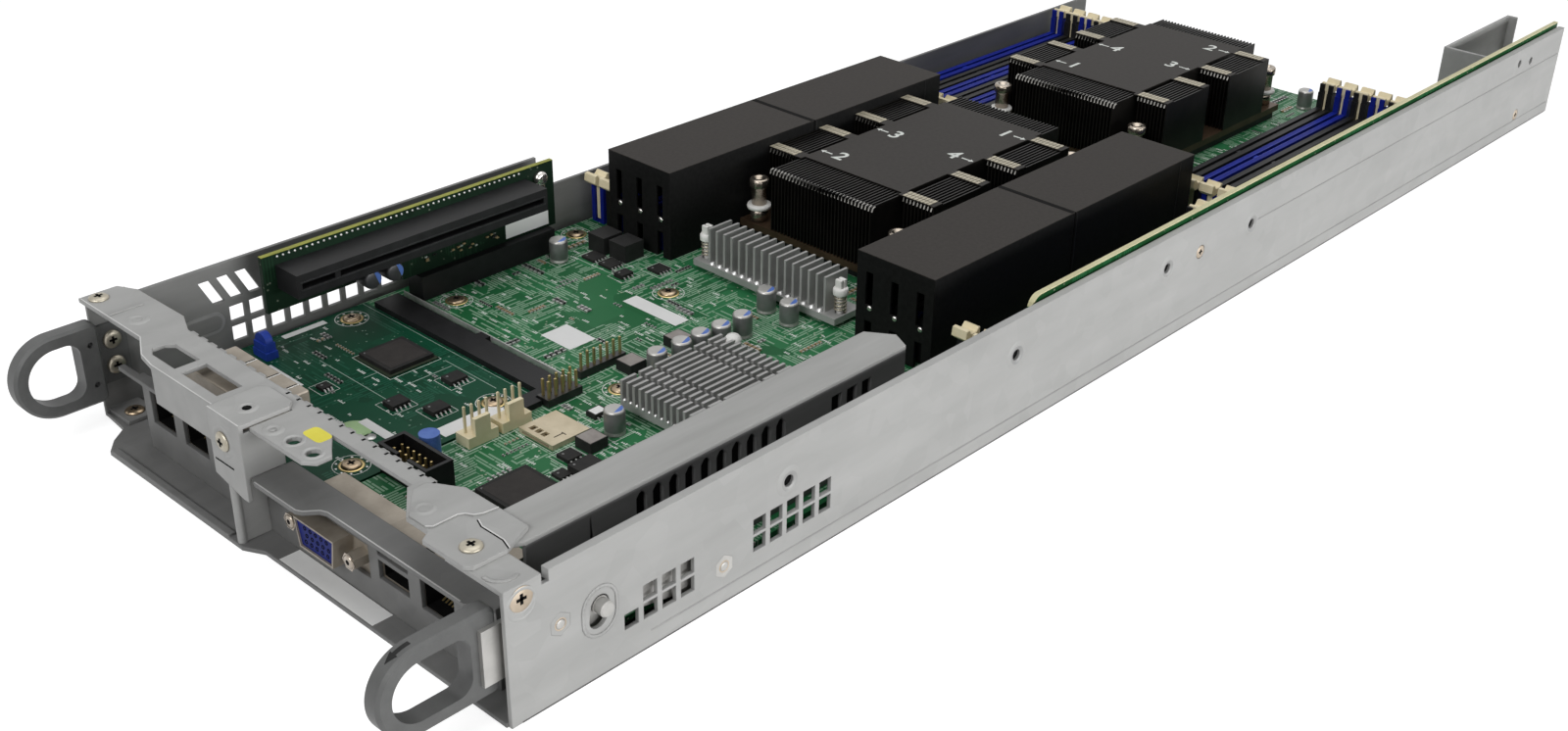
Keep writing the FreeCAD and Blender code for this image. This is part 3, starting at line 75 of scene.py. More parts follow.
def place_camera():
    data = bpy.data.cameras.new("photo_camera")
    data.sensor_fit = "HORIZONTAL"
    data.sensor_width = SENSOR_WIDTH_MM
    data.lens = FOCAL_PIXELS * SENSOR_WIDTH_MM / PHOTO_WIDTH
    data.shift_x = (PHOTO_WIDTH / 2 - PRINCIPAL_POINT[0]) / PHOTO_WIDTH
    data.shift_y = (PRINCIPAL_POINT[1] - PHOTO_HEIGHT / 2) / PHOTO_WIDTH
    data.clip_start, data.clip_end = 0.01, 50.0
    camera = link(bpy.data.objects.new("photo_camera", data))
    flat = math.cos(CAMERA_PITCH)
    back = Vector((math.sin(CAMERA_YAW) * flat, -math.cos(CAMERA_YAW) * flat, math.sin(CAMERA_PITCH)))
    right = Vector((math.cos(CAMERA_YAW), math.sin(CAMERA_YAW), 0.0))
    up = back.cross(right)
    x_axis = math.cos(CAMERA_ROLL) * right + math.sin(CAMERA_ROLL) * up
    y_axis = -math.sin(CAMERA_ROLL) * right + math.cos(CAMERA_ROLL) * up
    turn = Matrix((x_axis, y_axis, back)).transposed().to_4x4()
    camera.matrix_world = Matrix.Translation(Vector(CAMERA_PLACE_MM) * MM) @ turn
    bpy.context.scene.camera = camera


def area_light(name, place, aim, size, power):
    data = bpy.data.lights.new(name, "AREA")
    data.shape = "RECTANGLE"
    data.size, data.size_y = size
    data.energy = power
    lamp = link(bpy.data.objects.new(name, data))
    lamp.location = place
    lamp.rotation_euler = (Vector(aim) - Vector(place)).to_track_quat("-Z", "Y").to_euler()


def add_node(tree, kind, inputs=(), **settings):
    # A new shader node; each of its inputs is given a value or linked to another node's output.
    node = tree.nodes.new("ShaderNode" + kind)
    for name, value in settings.items():
        setattr(node, name, value)
    for name, value in dict(inputs).items():
        if isinstance(value, bpy.types.NodeSocket):
            tree.links.new(value, node.inputs[name])
        else:
            node.inputs[name].default_value = value
    return node


def seen_directly(tree):
    # 1 for camera, glossy and transmission rays, 0 for the rays that light the object.
    path = add_node(tree, "LightPath").outputs
    seen = path["Is Camera Ray"]
    for ray in ("Is Glossy Ray", "Is Transmission Ray"):
        seen = add_node(tree, "Math", {0: seen, 1: path[ray]}, operation="MAXIMUM").outputs[0]
    return seen


def studio():
    world = bpy.data.worlds.new("studio")
    bpy.context.scene.world = world
    world.use_nodes = True
    tree = world.node_tree
    tree.nodes.clear()
    fill = add_node(tree, "Background", {"Color": FILL_COLOR, "Strength": FILL_STRENGTH})
    white = add_node(tree, "Background", {"Color": WHITE, "Strength": 1.0})
    mix = add_node(tree, "MixShader", {0: seen_directly(tree), 1: fill.outputs[0], 2: white.outputs[0]})
    add_node(tree, "OutputWorld", {"Surface": mix.outputs[0]})
    for lamp in LAMPS:
        area_light(*lamp)

    mesh = bpy.data.meshes.new("studio_floor")
    bm = bmesh.new()
    bmesh.ops.create_grid(bm, x_segments=1, y_segments=1, size=FLOOR_HALF)
    bm.to_mesh(mesh)
    bm.free()
    floor = link(bpy.data.objects.new("studio_floor", mesh))
    material = bpy.data.materials.new("studio_floor")
    material.use_nodes = True
    tree = material.node_tree
    tree.nodes.clear()
    paper = add_node(tree, "BsdfDiffuse", {"Color": FLOOR_COLOR})
    strength = add_node(tree, "Math", {0: seen_directly(tree), 1: FLOOR_GLOW}, operation="MULTIPLY")
    glow = add_node(tree, "Emission", {"Color": WHITE, "Strength": strength.outputs[0]})
    both = add_node(tree, "AddShader", {0: paper.outputs[0], 1: glow.outputs[0]})
    add_node(tree, "OutputMaterial", {"Surface": both.outputs[0]})
    mesh.materials.append(material)


# Materials: each starts from one surface shader and adds its own texture nodes
class Weave:
    # One material and the building of its nodes, with Object coordinates in metres.
    def __init__(self, name, color, roughness, metallic=0.0, specular=0.5):
        self.material = bpy.data.materials.new(name)
        self.material.use_nodes = True
        self.material.diffuse_color = (*color, 1.0)
        self.tree = self.material.node_tree
        self.shader = self.tree.nodes["Principled BSDF"].inputs
        self.shader["Base Color"].default_value = (*color, 1.0)
        self.shader["Roughness"].default_value = roughness
        self.shader["Metallic"].default_value = metallic
        self.shader["Specular IOR Level"].default_value = specular
        self.coords = self.node("TexCoord").outputs["Object"]

    def node(self, kind, inputs=(), **settings):
        return add_node(self.tree, kind, inputs, **settings)

    def send(self, value, socket):
        self.tree.links.new(value, self.shader[socket])

    def mapped(self, scale=(1, 1, 1), turn=0.0):
        inputs = {"Vector": self.coords, "Scale": scale, "Rotation": (0, 0, turn)}
        return self.node("Mapping", inputs).outputs[0]

    def noise(self, scale, detail=3.0, rough=0.5, vector=None):
        inputs = {"Vector": vector or self.coords, "Scale": scale, "Detail": detail, "Roughness": rough}
        return self.node("TexNoise", inputs).outputs["Fac"]

    def cells(self, scale, distance="EUCLIDEAN", output="Distance"):
        inputs = {"Vector": self.coords, "Scale": scale}
        return self.node("TexVoronoi", inputs, feature="F1", distance=distance).outputs[output]

    def bricks(self, scale, mortar, width, height, turn):
        inputs = {"Vector": self.mapped(turn=turn), "Scale": scale, "Mortar Size": mortar,
                  "Brick Width": width, "Row Height": height,
                  "Color1": BLACK, "Color2": WHITE, "Mortar": BLACK}
        return self.gray(self.node("TexBrick", inputs, offset=0.41).outputs["Color"])

    def gray(self, color):
        return self.node("RGBToBW", {0: color}).outputs[0]

    def streaks(self):
        return self.noise(22.0, 4.0, 0.55, self.mapped((6.0, 0.8, 5.0)))

    def ramp(self, value, dark, light, margin=0.3):
        node = self.node("ValToRGB", {"Fac": value})
        for element, place, color in zip(node.color_ramp.elements, (margin, 1.0 - margin), (dark, light)):
            element.position = place
            element.color = (*color, 1.0)
        return node.outputs["Color"]

    def math(self, operation, first, second):
        return self.node("Math", {0: first, 1: second}, operation=operation).outputs[0]

    def above(self, value, limit):
        return self.math("GREATER_THAN", value, limit)

    def below(self, value, limit):
        return self.math("LESS_THAN", value, limit)

    def times(self, first, second):
        return self.math("MULTIPLY", first, second)

    def blend(self, factor, first, second):
        # Sockets 6 and 7 and output 2 are the colour ones of a Mix node.
        tones = [(*value, 1.0) if isinstance(value, tuple) else value for value in (first, second)]
        return self.node("Mix", {0: factor, 6: tones[0], 7: tones[1]}, data_type="RGBA").outputs[2]

    def axis(self, name):
        return self.node("SeparateXYZ", {0: self.coords}).outputs[name]

    def color(self, value):
        self.send(value, "Base Color")

    def roughness(self, value, low, high):
        inputs = {"Value": value, "To Min": low, "To Max": high}
        self.send(self.node("MapRange", inputs).outputs[0], "Roughness")

    def bump(self, height, strength, distance, edge=0.0):
        # Fine relief; `edge` (mm) shades sharp edges as if they were rounded over.
        inputs = {"Height": height, "Strength": strength, "Distance": distance}
        if edge:
            inputs["Normal"] = self.node("Bevel", {"Radius": edge * MM}, samples=6).outputs[0]
        self.send(self.node("Bump", inputs).outputs[0], "Normal")


def mottled(name, dark, light, roughness, metallic, scale, grain, specular=0.5):
    # A finish that wanders between two tones, with a fine grain in its bump.
    weave = Weave(name, light, roughness[0], metallic, specular)
    drift = weave.noise(scale, 4.0, 0.6)
    weave.color(weave.ramp(drift, dark, light))
    weave.roughness(drift, *roughness)
    weave.bump(weave.noise(grain, 2.0), 0.15, 0.0002)
    return weave.material


def zinc_grain(weave):
    weave.bump(weave.noise(600.0, 2.0), 0.06, 0.0002, 0.5)
    return weave.material


def galvanised_steel(name, dark, light):
    # Zinc coat: faint spangles, weak streaks along the rolling direction and a soft sheen.
    weave = Weave(name, light, 0.5, 0.15, 0.2)
    spangle = weave.cells(160.0, output="Color")
    tone = weave.gray(weave.blend(0.18, weave.streaks(), spangle))
    weave.color(weave.ramp(tone, dark, light, 0.2))
    weave.roughness(tone, 0.44, 0.56)
    return zinc_grain(weave)


def steel_with_painted_shade(name, node, rim, dull):
    # Sheet whose folded top and outer face keep the plain steel tone, while its faces inside take the darker
    # tone `dull` as painted shade.
    low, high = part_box(node)
    weave = Weave(name, dull, 0.5, 0.1, 0.15)
    outside = weave.below(weave.axis("X"), low.x + 0.2 * MM)
    bright = weave.math("MAXIMUM", weave.above(weave.axis("Z"), high.z - rim * MM), outside)
    streak = weave.streaks()
    top = weave.ramp(streak, (0.34, 0.34, 0.33), (0.43, 0.43, 0.42))
    face = weave.ramp(streak, *[tuple(share * c for c in dull) for share in (0.85, 1.15)])
    weave.color(weave.blend(bright, face, top))
    return zinc_grain(weave)


def solder_mask(name, deep, base, pale, coverage, via_tone):
    # Circuit board: runs of tracks that show pale through the mask, plain copper areas and plated holes.
    weave = Weave(name, base, 0.46, 0.0, 0.12)
    areas = weave.node("SeparateColor", {0: weave.cells(72.0, "CHEBYCHEV", "Color")}).outputs
    along, across = [weave.bricks(150.0, 0.035, 1.05, 0.16, turn) for turn in (0.0, math.pi / 2)]
    pick = weave.above(areas[0], 0.5)
    across = weave.times(across, weave.math("SUBTRACT", 1.0, pick))
    tracks = weave.above(weave.math("ADD", weave.times(along, pick), across), 0.38)
    crowd = weave.math("ADD", weave.noise(30.0, 2.0), weave.times(areas[1], 0.35))
    shown = weave.times(tracks, weave.above(crowd, 1.12 - coverage))
    ground = weave.ramp(areas[2], deep, base, 0.25)
    with_tracks = weave.blend(weave.times(shown, 0.85), ground, pale)
    holes = weave.times(weave.below(weave.cells(430.0), 0.15), weave.above(weave.noise(60.0, 1.0), 0.5))
    weave.color(weave.blend(holes, with_tracks, via_tone))
    weave.roughness(shown, 0.46, 0.36)
    weave.bump(shown, 0.12, 0.00006)
    return weave.material


def two_tone(name, lower, upper, height_mm, metal):
    # A moulded base with metal above a set height.
    weave = Weave(name, upper, 0.38)
    above = weave.above(weave.axis("Z"), height_mm * MM)
    moulded = weave.ramp(weave.noise(400.0, 2.0), lower, tuple(1.2 * c for c in lower))
    weave.color(weave.blend(above, moulded, upper))
    weave.send(weave.times(above, metal), "Metallic")
    return weave.material


SINK_BASE, LID_FILM, SHROUD_FILM = 2.7 * MM, 0.2 * MM, 0.15 * MM


def sink_finish(name):
    # Black fins on a copper-tinted base, with a charcoal lid on top.
    low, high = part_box("front_heat_sink")
    weave = Weave(name, (0.03, 0.028, 0.026), 0.4, 0.5, 0.13)
    z = weave.axis("Z")
    on_base = weave.below(z, low.z + SINK_BASE)
    on_lid = weave.above(z, high.z - LID_FILM)
    wander = weave.noise(90.0, 4.0, 0.6)
    fins = weave.ramp(wander, (0.010, 0.0095, 0.009), (0.022, 0.020, 0.018))
    base = weave.ramp(wander, (0.060, 0.038, 0.024), (0.110, 0.072, 0.046))
    lid = weave.ramp(weave.noise(700.0, 2.0), (0.024, 0.021, 0.019), (0.031, 0.028, 0.025))
    weave.color(weave.blend(on_lid, weave.blend(on_base, fins, base), lid))
    weave.send(weave.times(weave.math("SUBTRACT", 1.0, on_lid), 0.5), "Metallic")
    weave.roughness(on_lid, 0.36, 0.55)
    weave.bump(weave.noise(900.0, 2.0), 0.1, 0.0001)
    return weave.material


def shroud_finish(name):
    # Charcoal film on the flat tops, darker moulding on the sides.
    weave = Weave(name, (0.03, 0.03, 0.03), 0.5)
    on_top = weave.above(weave.axis("Z"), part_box("left_front_shroud")[1].z - SHROUD_FILM)
    grain = weave.noise(800.0, 3.0)
    top = weave.ramp(grain, (0.025, 0.022, 0.0195), (0.033, 0.029, 0.026))
    side = weave.ramp(grain, (0.006, 0.006, 0.006), (0.010, 0.010, 0.010))
    weave.color(weave.blend(on_top, side, top))
    weave.roughness(on_top, 0.5, 0.6)
    weave.send(weave.math("ADD", weave.times(on_top, 0.05), 0.08), "Specular IOR Level")
    weave.bump(grain, 0.1, 0.0001, 0.4)
    return weave.material


BOARD_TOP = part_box("main_board")[1].z / MM

FINISH = {
    "steel": galvanised_steel("galvanised_steel", (0.345, 0.345, 0.337), (0.445, 0.445, 0.436)),
    # The rail's web and the left wall's inner face are darkened with painted shade.
    "rail_steel_painted_shade": steel_with_painted_shade("rail_steel_painted_shade", "air_guide_rail", 1.2, (0.17, 0.17, 0.168)),
    "left_steel_painted_shade": steel_with_painted_shade("left_wall_painted_shade", "left_wall", 1.6, (0.21, 0.21, 0.206)),
    # The IO panel: the same galvanised steel, darkened as painted shade.
    "panel_steel_painted_shade": galvanised_steel("panel_steel_painted_shade", (0.15, 0.15, 0.148), (0.21, 0.21, 0.206)),
    # The floor pan: the same galvanised steel, darkened as painted shade.
    "floor_steel_painted_shade": galvanised_steel("floor_steel_painted_shade", (0.16, 0.16, 0.158), (0.22, 0.22, 0.216)),
    "board": solder_mask("main_board_mask", (0.014, 0.11, 0.038), (0.026, 0.165, 0.062), (0.28, 0.44, 0.31),
                         0.64, (0.4, 0.44, 0.34)),
    "card": solder_mask("network_card_mask", (0.003, 0.042, 0.02), (0.004, 0.058, 0.028),
                        (0.014, 0.095, 0.054), 0.45, (0.16, 0.26, 0.2)),
    "riser": solder_mask("riser_mask", (0.004, 0.014, 0.007), (0.006, 0.02, 0.01), (0.012, 0.036, 0.018),
                         0.5, (0.1, 0.12, 0.09)),
    "side": solder_mask("side_board_mask", (0.006, 0.055, 0.014), (0.008, 0.075, 0.02), (0.02, 0.12, 0.045),
                        0.5, (0.2, 0.22, 0.16)),
    "shroud": shroud_finish("shroud_film"),
    "black_fin": sink_finish("black_fin"),
    "pins": two_tone("gold_pins", (0.01, 0.01, 0.01), (0.5, 0.4, 0.18), BOARD_TOP + 2.5, 0.8),
}
# Plain finishes: material's name, dark and light tone, range of roughness, metallic, the scales of tone
# and of grain, and specular where it is not the usual one
PLAIN_FINISH = {
    # Darker steel in dimples, pressed rings and crease lines: painted shade.
    "crease": ("pressed_crease", (0.26, 0.26, 0.26), (0.34, 0.34, 0.33), (0.4, 0.5), 0.4, 90, 900),
    "bright_steel": ("bright_steel", (0.36, 0.355, 0.34), (0.5, 0.49, 0.47), (0.32, 0.44), 0.6, 90, 900),
    "chrome": ("chrome", (0.55, 0.53, 0.5), (0.74, 0.72, 0.69), (0.12, 0.22), 0.95, 120, 900),
    "nut": ("plated_nut", (0.26, 0.22, 0.175), (0.43, 0.38, 0.325), (0.14, 0.26), 0.9, 160, 900),
    "jack_steel": ("jack_can_steel", (0.27, 0.235, 0.19), (0.4, 0.355, 0.295), (0.38, 0.5), 0.35, 120, 900,
                   0.3),
    "grey_plastic": ("handle_plastic", (0.08, 0.081, 0.08), (0.108, 0.11, 0.108), (0.42, 0.55), 0.0, 160,
                     1500),
    "laminate": ("laminate_edge", (0.21, 0.22, 0.02), (0.31, 0.32, 0.04), (0.5, 0.6), 0.0, 200, 1500),
    "laminate_cream": ("cream_laminate_edge", (0.58, 0.54, 0.32), (0.7, 0.67, 0.42), (0.5, 0.6), 0.0, 90,
                       1500),
    "black_plastic": ("black_plastic", (0.006, 0.006, 0.0065), (0.011, 0.011, 0.012), (0.42, 0.55), 0.0, 220,
                      1800, 0.22),
    "black_gloss": ("black_gloss", (0.01, 0.01, 0.011), (0.02, 0.02, 0.022), (0.26, 0.38), 0.0, 220, 1800,
                    0.4),
    "blue_plastic": ("blue_plastic", (0.007, 0.015, 0.2), (0.01, 0.022, 0.28), (0.45, 0.6), 0.0, 180, 1500,
                     0.12),
    "jumper_blue": ("jumper_blue", (0.015, 0.045, 0.34), (0.03, 0.075, 0.46), (0.35, 0.5), 0.0, 180, 1500,
                    0.3),
    # Lighter lines on the slots' rail edges: painted highlight.
    "blue_edge": ("blue_slot_edge", (0.012, 0.03, 0.38), (0.02, 0.045, 0.48), (0.35, 0.45), 0.0, 180, 1500,
                  0.3),
    "black_edge": ("black_slot_edge", (0.01, 0.01, 0.011), (0.018, 0.018, 0.019), (0.35, 0.45), 0.0, 180,
                   1500, 0.3),
    "connector_blue": ("connector_blue", (0.004, 0.01, 0.115), (0.006, 0.015, 0.165), (0.45, 0.55), 0.0, 180,
                       1500, 0.12),
    "ivory_plastic": ("ivory_plastic", (0.82, 0.71, 0.46), (0.91, 0.81, 0.57), (0.35, 0.5), 0.0, 160, 1400),
    "white_plastic": ("white_plastic", (0.82, 0.81, 0.78), (0.9, 0.89, 0.86), (0.35, 0.5), 0.0, 160, 1400),
    "aluminium": ("cut_aluminium", (0.34, 0.34, 0.33), (0.43, 0.43, 0.42), (0.45, 0.6), 0.25, 110, 1200, 0.3),
    # Bright aluminium on the fin roots: painted highlight.
    "bright_aluminium": ("bright_aluminium", (0.6, 0.6, 0.59), (0.76, 0.76, 0.75), (0.25, 0.35), 0.7, 110,
                         1200),
    "fin_tab": ("folded_fin_tab", (0.4, 0.36, 0.27), (0.56, 0.51, 0.39), (0.35, 0.5), 0.3, 500, 1200),
    # Light grey on the fins' bent fronts: painted glint.
    "fin_glint": ("fin_bend", (0.3, 0.29, 0.27), (0.46, 0.45, 0.42), (0.25, 0.35), 0.7, 400, 1200),
    "gold": ("gold_contact", (0.48, 0.36, 0.15), (0.66, 0.51, 0.24), (0.25, 0.4), 0.85, 200, 900),
    "tin_gold": ("card_socket_shell", (0.5, 0.43, 0.3), (0.62, 0.54, 0.4), (0.4, 0.55), 0.45, 150, 900),
    "brass": ("yellow_zinc", (0.33, 0.3, 0.23), (0.5, 0.46, 0.38), (0.3, 0.44), 0.65, 260, 900),
    "pale_screw": ("pale_zinc", (0.44, 0.36, 0.27), (0.58, 0.49, 0.39), (0.36, 0.48), 0.35, 260, 900, 0.3),
    "board_screw": ("bronze_screw", (0.26, 0.19, 0.12), (0.42, 0.33, 0.23), (0.22, 0.36), 0.85, 260, 900),
    "chip": ("chip_resin", (0.016, 0.016, 0.016), (0.028, 0.027, 0.026), (0.6, 0.75), 0.0, 300, 2400, 0.14),
    "chip_carrier": ("chip_carrier", (0.02, 0.03, 0.018), (0.035, 0.045, 0.028), (0.6, 0.75), 0.0, 300, 2400,
                     0.14),
    "chip_face": ("chip_face", (0.03, 0.027, 0.026), (0.042, 0.038, 0.036), (0.6, 0.75), 0.0, 300, 2400,
                  0.14),
    "can": ("capacitor_can", (0.18, 0.18, 0.18), (0.25, 0.25, 0.25), (0.32, 0.42), 0.5, 240, 900),
    "can_dark": ("lying_can", (0.05, 0.05, 0.055), (0.08, 0.08, 0.085), (0.36, 0.46), 0.4, 240, 900),
    "blue_sleeve": ("blue_sleeve", (0.07, 0.15, 0.5), (0.12, 0.23, 0.62), (0.35, 0.45), 0.0, 300, 900, 0.3),
    "nickel": ("nickel_lid", (0.5, 0.49, 0.47), (0.62, 0.61, 0.59), (0.25, 0.35), 0.9, 120, 900),
    "tin": ("solder_tin", (0.46, 0.46, 0.45), (0.62, 0.62, 0.6), (0.3, 0.45), 0.6, 400, 900),
    "smd_tan": ("ceramic_tan", (0.26, 0.18, 0.09), (0.38, 0.28, 0.15), (0.4, 0.5), 0.0, 500, 1500),
    "smd_black": ("resistor_black", (0.012, 0.012, 0.012), (0.024, 0.024, 0.024), (0.4, 0.5), 0.0, 500, 1500),
    "smd_grey": ("ferrite_grey", (0.14, 0.14, 0.14), (0.22, 0.22, 0.22), (0.4, 0.5), 0.0, 500, 1500),
    "print_white": ("white_print", (0.7, 0.73, 0.69), (0.82, 0.85, 0.81), (0.5, 0.6), 0.0, 500, 1500),
    "print_pale": ("pale_print", (0.26, 0.36, 0.31), (0.36, 0.46, 0.4), (0.5, 0.6), 0.0, 500, 1500),
    "mark_black": ("black_mark", (0.008, 0.008, 0.008), (0.014, 0.014, 0.014), (0.5, 0.6), 0.0, 500, 1500,
                   0.2),
    "label_white": ("bare_label", (0.84, 0.84, 0.83), (0.91, 0.91, 0.9), (0.45, 0.6), 0.0, 70, 1500),
    "sticker_yellow": ("yellow_mark", (0.74, 0.66, 0.04), (0.84, 0.76, 0.08), (0.4, 0.5), 0.0, 90, 1500),
    "sticker_green": ("pale_green_mark", (0.44, 0.66, 0.32), (0.52, 0.76, 0.4), (0.4, 0.5), 0.0, 90, 1500),
    "choke": ("pressed_powder", (0.012, 0.012, 0.012), (0.02, 0.02, 0.02), (0.5, 0.65), 0.0, 300, 1500, 0.25),
    "choke_top": ("choke_top", (0.26, 0.235, 0.22), (0.36, 0.33, 0.31), (0.5, 0.65), 0.0, 300, 1500, 0.3),
    # Bright strips on folded edges: painted highlight.
    "fold": ("bright_fold", (0.56, 0.56, 0.55), (0.7, 0.7, 0.69), (0.3, 0.4), 0.3, 60, 900),
    # A dark line along the foot of the wall: painted shade.
    "seam": ("dark_seam", (0.045, 0.045, 0.043), (0.075, 0.075, 0.072), (0.5, 0.6), 0.0, 90, 900),
    # Near-black in holes, slits, grooves, notches, joints and inside the ports: painted shade.
    "recess": ("dark_recess", (0.004, 0.004, 0.004), (0.008, 0.008, 0.008), (0.6, 0.8), 0.0, 300, 1500, 0.04),
}
FINISH.update({key: mottled(*row) for key, row in PLAIN_FINISH.items()})

NODE_FINISH = {
    "steel": ["right_wall", "front_bridge", "centre_clip", "far_bracket", "wall_studs"],
    "panel_steel_painted_shade": ["io_panel"],
    "floor_steel_painted_shade": ["floor_pan"],
    "left_steel_painted_shade": ["left_wall"],
    "rail_steel_painted_shade": ["air_guide_rail"],
    "bright_steel": ["lever_arm", "lever_pivot", "latch_pin", "lever_spring", "standoffs", "heat_sink_nuts"],
    "jack_steel": ["network_jacks", "lan_jack", "usb_stack", "vga_connector"],
    "grey_plastic": ["left_handle", "lever_handle"],
    "board": ["main_board"],
    "card": ["network_card"],
    "riser": ["riser_card"],
    "side": ["side_board"],
    "black_plastic": ["riser_socket", "riser_slot", "side_connector", "card_connector", "box_header",
                      "processor_sockets", "black_memory_slots"],
    "shroud": ["left_front_shroud", "left_back_shroud", "right_front_shroud", "right_back_shroud"],
    "jumper_blue": ["jumper_block"],
    "choke": ["chokes"],
    "blue_plastic": ["blue_memory_slots"],
    "ivory_plastic": ["fan_headers"] + [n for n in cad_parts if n.endswith("_latches")],
    "white_plastic": ["push_pins"],
    "aluminium": ["chipset_heat_sink", "tall_heat_sink"],
    "black_fin": ["front_heat_sink", "rear_heat_sink"],
    "pins": ["pin_headers"],
    "tin_gold": ["card_socket"],
    "brass": ["screws"],
    "chip": ["chips"],
    "can": ["capacitors"],
    "blue_sleeve": ["coin_cell"],
    "nickel": ["processors"],
}


def dress_nodes():
    for finish, names in NODE_FINISH.items():
        for name in names:
            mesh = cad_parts[name].data
            mesh.materials.clear()
            mesh.materials.append(FINISH[finish])


# Building pieces: one mesh per piece, with a finish on every face
PLATE_ORDER = {"Z": (0, 1, 2), "X": (2, 0, 1), "Y": (1, 2, 0)}
TURN_ONTO = {"Z": Matrix.Identity(4), "X": Matrix.Rotation(math.pi / 2, 4, "Y"),
             "Y": Matrix.Rotation(-math.pi / 2, 4, "X")}
ROUND_SIDES = 24


class Piece:
    def __init__(self):
        self.bm = bmesh.new()
        self.finishes = []

    def paint(self, faces, finish):
        if finish not in self.finishes:
            self.finishes.append(finish)
        index = self.finishes.index(finish)
        for face in faces:
            face.material_index = index
        return faces

    def block(self, low, high, finish, edge=0.0):
        # A block between two corners in mm, its edges rounded over by `edge`.
        low, high = Vector(low) * MM, Vector(high) * MM
        place = Matrix.Translation((low + high) / 2) @ Matrix.Diagonal((*(high - low), 1.0))
        made = bmesh.ops.create_cube(self.bm, size=1.0, matrix=place)
        faces = {f for v in made["verts"] for f in v.link_faces}
        self.paint(faces, finish)
        if edge:
            self.round_over({e for f in faces for e in f.edges}, edge)

    def round_over(self, edges, edge):
        made = bmesh.ops.bevel(self.bm, geom=list(edges), offset=edge * MM, segments=2, affect="EDGES",
                               profile=0.5, material=-1)
        return made["faces"]

    def smooth(self, before, finish):
        # Paints the faces made since `before` and shades them smooth.
        faces = [f for f in self.bm.faces if f not in before]
        bmesh.ops.recalc_face_normals(self.bm, faces=faces)
        for face in faces:
            face.smooth = True
        return self.paint(faces, finish)

    def plate(self, outline, base, thickness, finish, axis="Z"):
        # A flat outline in mm, thickened along an axis.
        order = PLATE_ORDER[axis]
        ring = [self.bm.verts.new(Vector([(a, b, base)[k] for k in order]) * MM) for a, b in outline]
        first = self.bm.faces.new(ring)
        lifted = bmesh.ops.extrude_face_region(self.bm, geom=[first])["geom"]
        rise = Vector([(0, 0, thickness)[k] for k in order]) * MM
        bmesh.ops.translate(self.bm, vec=rise, verts=[g for g in lifted if isinstance(g, bmesh.types.BMVert)])
        faces = {f for v in ring for f in v.link_faces}
        faces |= {g for g in lifted if isinstance(g, bmesh.types.BMFace)}
        bmesh.ops.recalc_face_normals(self.bm, faces=list(faces))
        return self.paint(faces, finish)

    def turned(self, place, profile, finish, axis="Z", way=1, sides=ROUND_SIDES):
        # A round piece: (radius, height) points in mm, spun about an axis through `place`.
        line = [self.bm.verts.new(Vector((r, 0, h)) * MM) for r, h in profile]
        edges = [self.bm.edges.new(pair) for pair in zip(line, line[1:])]
        before = set(self.bm.faces)
        bmesh.ops.spin(self.bm, geom=line + edges, cent=(0, 0, 0), axis=(0, 0, 1), angle=2 * math.pi,
                       steps=sides, use_merge=True)
        verts = list({v for f in self.bm.faces if f not in before for v in f.verts})
        bmesh.ops.remove_doubles(self.bm, verts=verts, dist=1e-7)
        turn = TURN_ONTO[axis]
        if way < 0:
            turn = turn @ Matrix.Rotation(math.pi, 4, "X")
        verts = list({v for f in self.bm.faces if f not in before for v in f.verts})
        bmesh.ops.transform(self.bm, matrix=Matrix.Translation(Vector(place) * MM) @ turn, verts=verts)
        return self.smooth(before, finish)

    def disc(self, place, r, rise, finish, axis="Z", way=1, sides=ROUND_SIDES):
        # A flat round spot that lies on a face.
        self.turned(place, [(r, 0), (r, rise), (0, rise)], finish, axis, way, sides)

    def coil(self, place, radius, wire, pitch, turns, finish):
        # A spring standing on Z: a small ring swept round and up.
        start = Matrix.Translation((Vector(place) + Vector((radius, 0, 0))) * MM)
        made = bmesh.ops.create_circle(self.bm, cap_ends=False, radius=wire * MM, segments=6,
                                       matrix=start @ Matrix.Rotation(math.pi / 2, 4, "X"))
        ring = made["verts"]
        edges = list({e for v in ring for e in v.link_edges})
        before = set(self.bm.faces)
        steps = int(16 * turns)
        bmesh.ops.spin(self.bm, geom=ring + edges, cent=Vector(place) * MM, axis=(0, 0, 1),
                       dvec=(0, 0, pitch * turns * MM / steps), angle=2 * math.pi * turns, steps=steps)
        return self.smooth(before, finish)

    def done(self, name, body=TRAY, slot=None, instead_of=()):
        mesh = bpy.data.meshes.new(name)
        self.bm.to_mesh(mesh)
        self.bm.free()
        for finish in self.finishes:
            mesh.materials.append(FINISH[finish])
        piece = link(bpy.data.objects.new(name, mesh))
        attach(piece, body)
        if instead_of:
            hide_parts(*instead_of)


DETAILS = []


def detail(**how):
    # Marks a function that fills the piece of its name; the pieces are made in the order in which they stand.
    def keep(fill):
        DETAILS.append((fill, fill.__name__, how))
        return fill
    return keep


def mm_box(node):
    low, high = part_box(node)
    return low / MM, high / MM


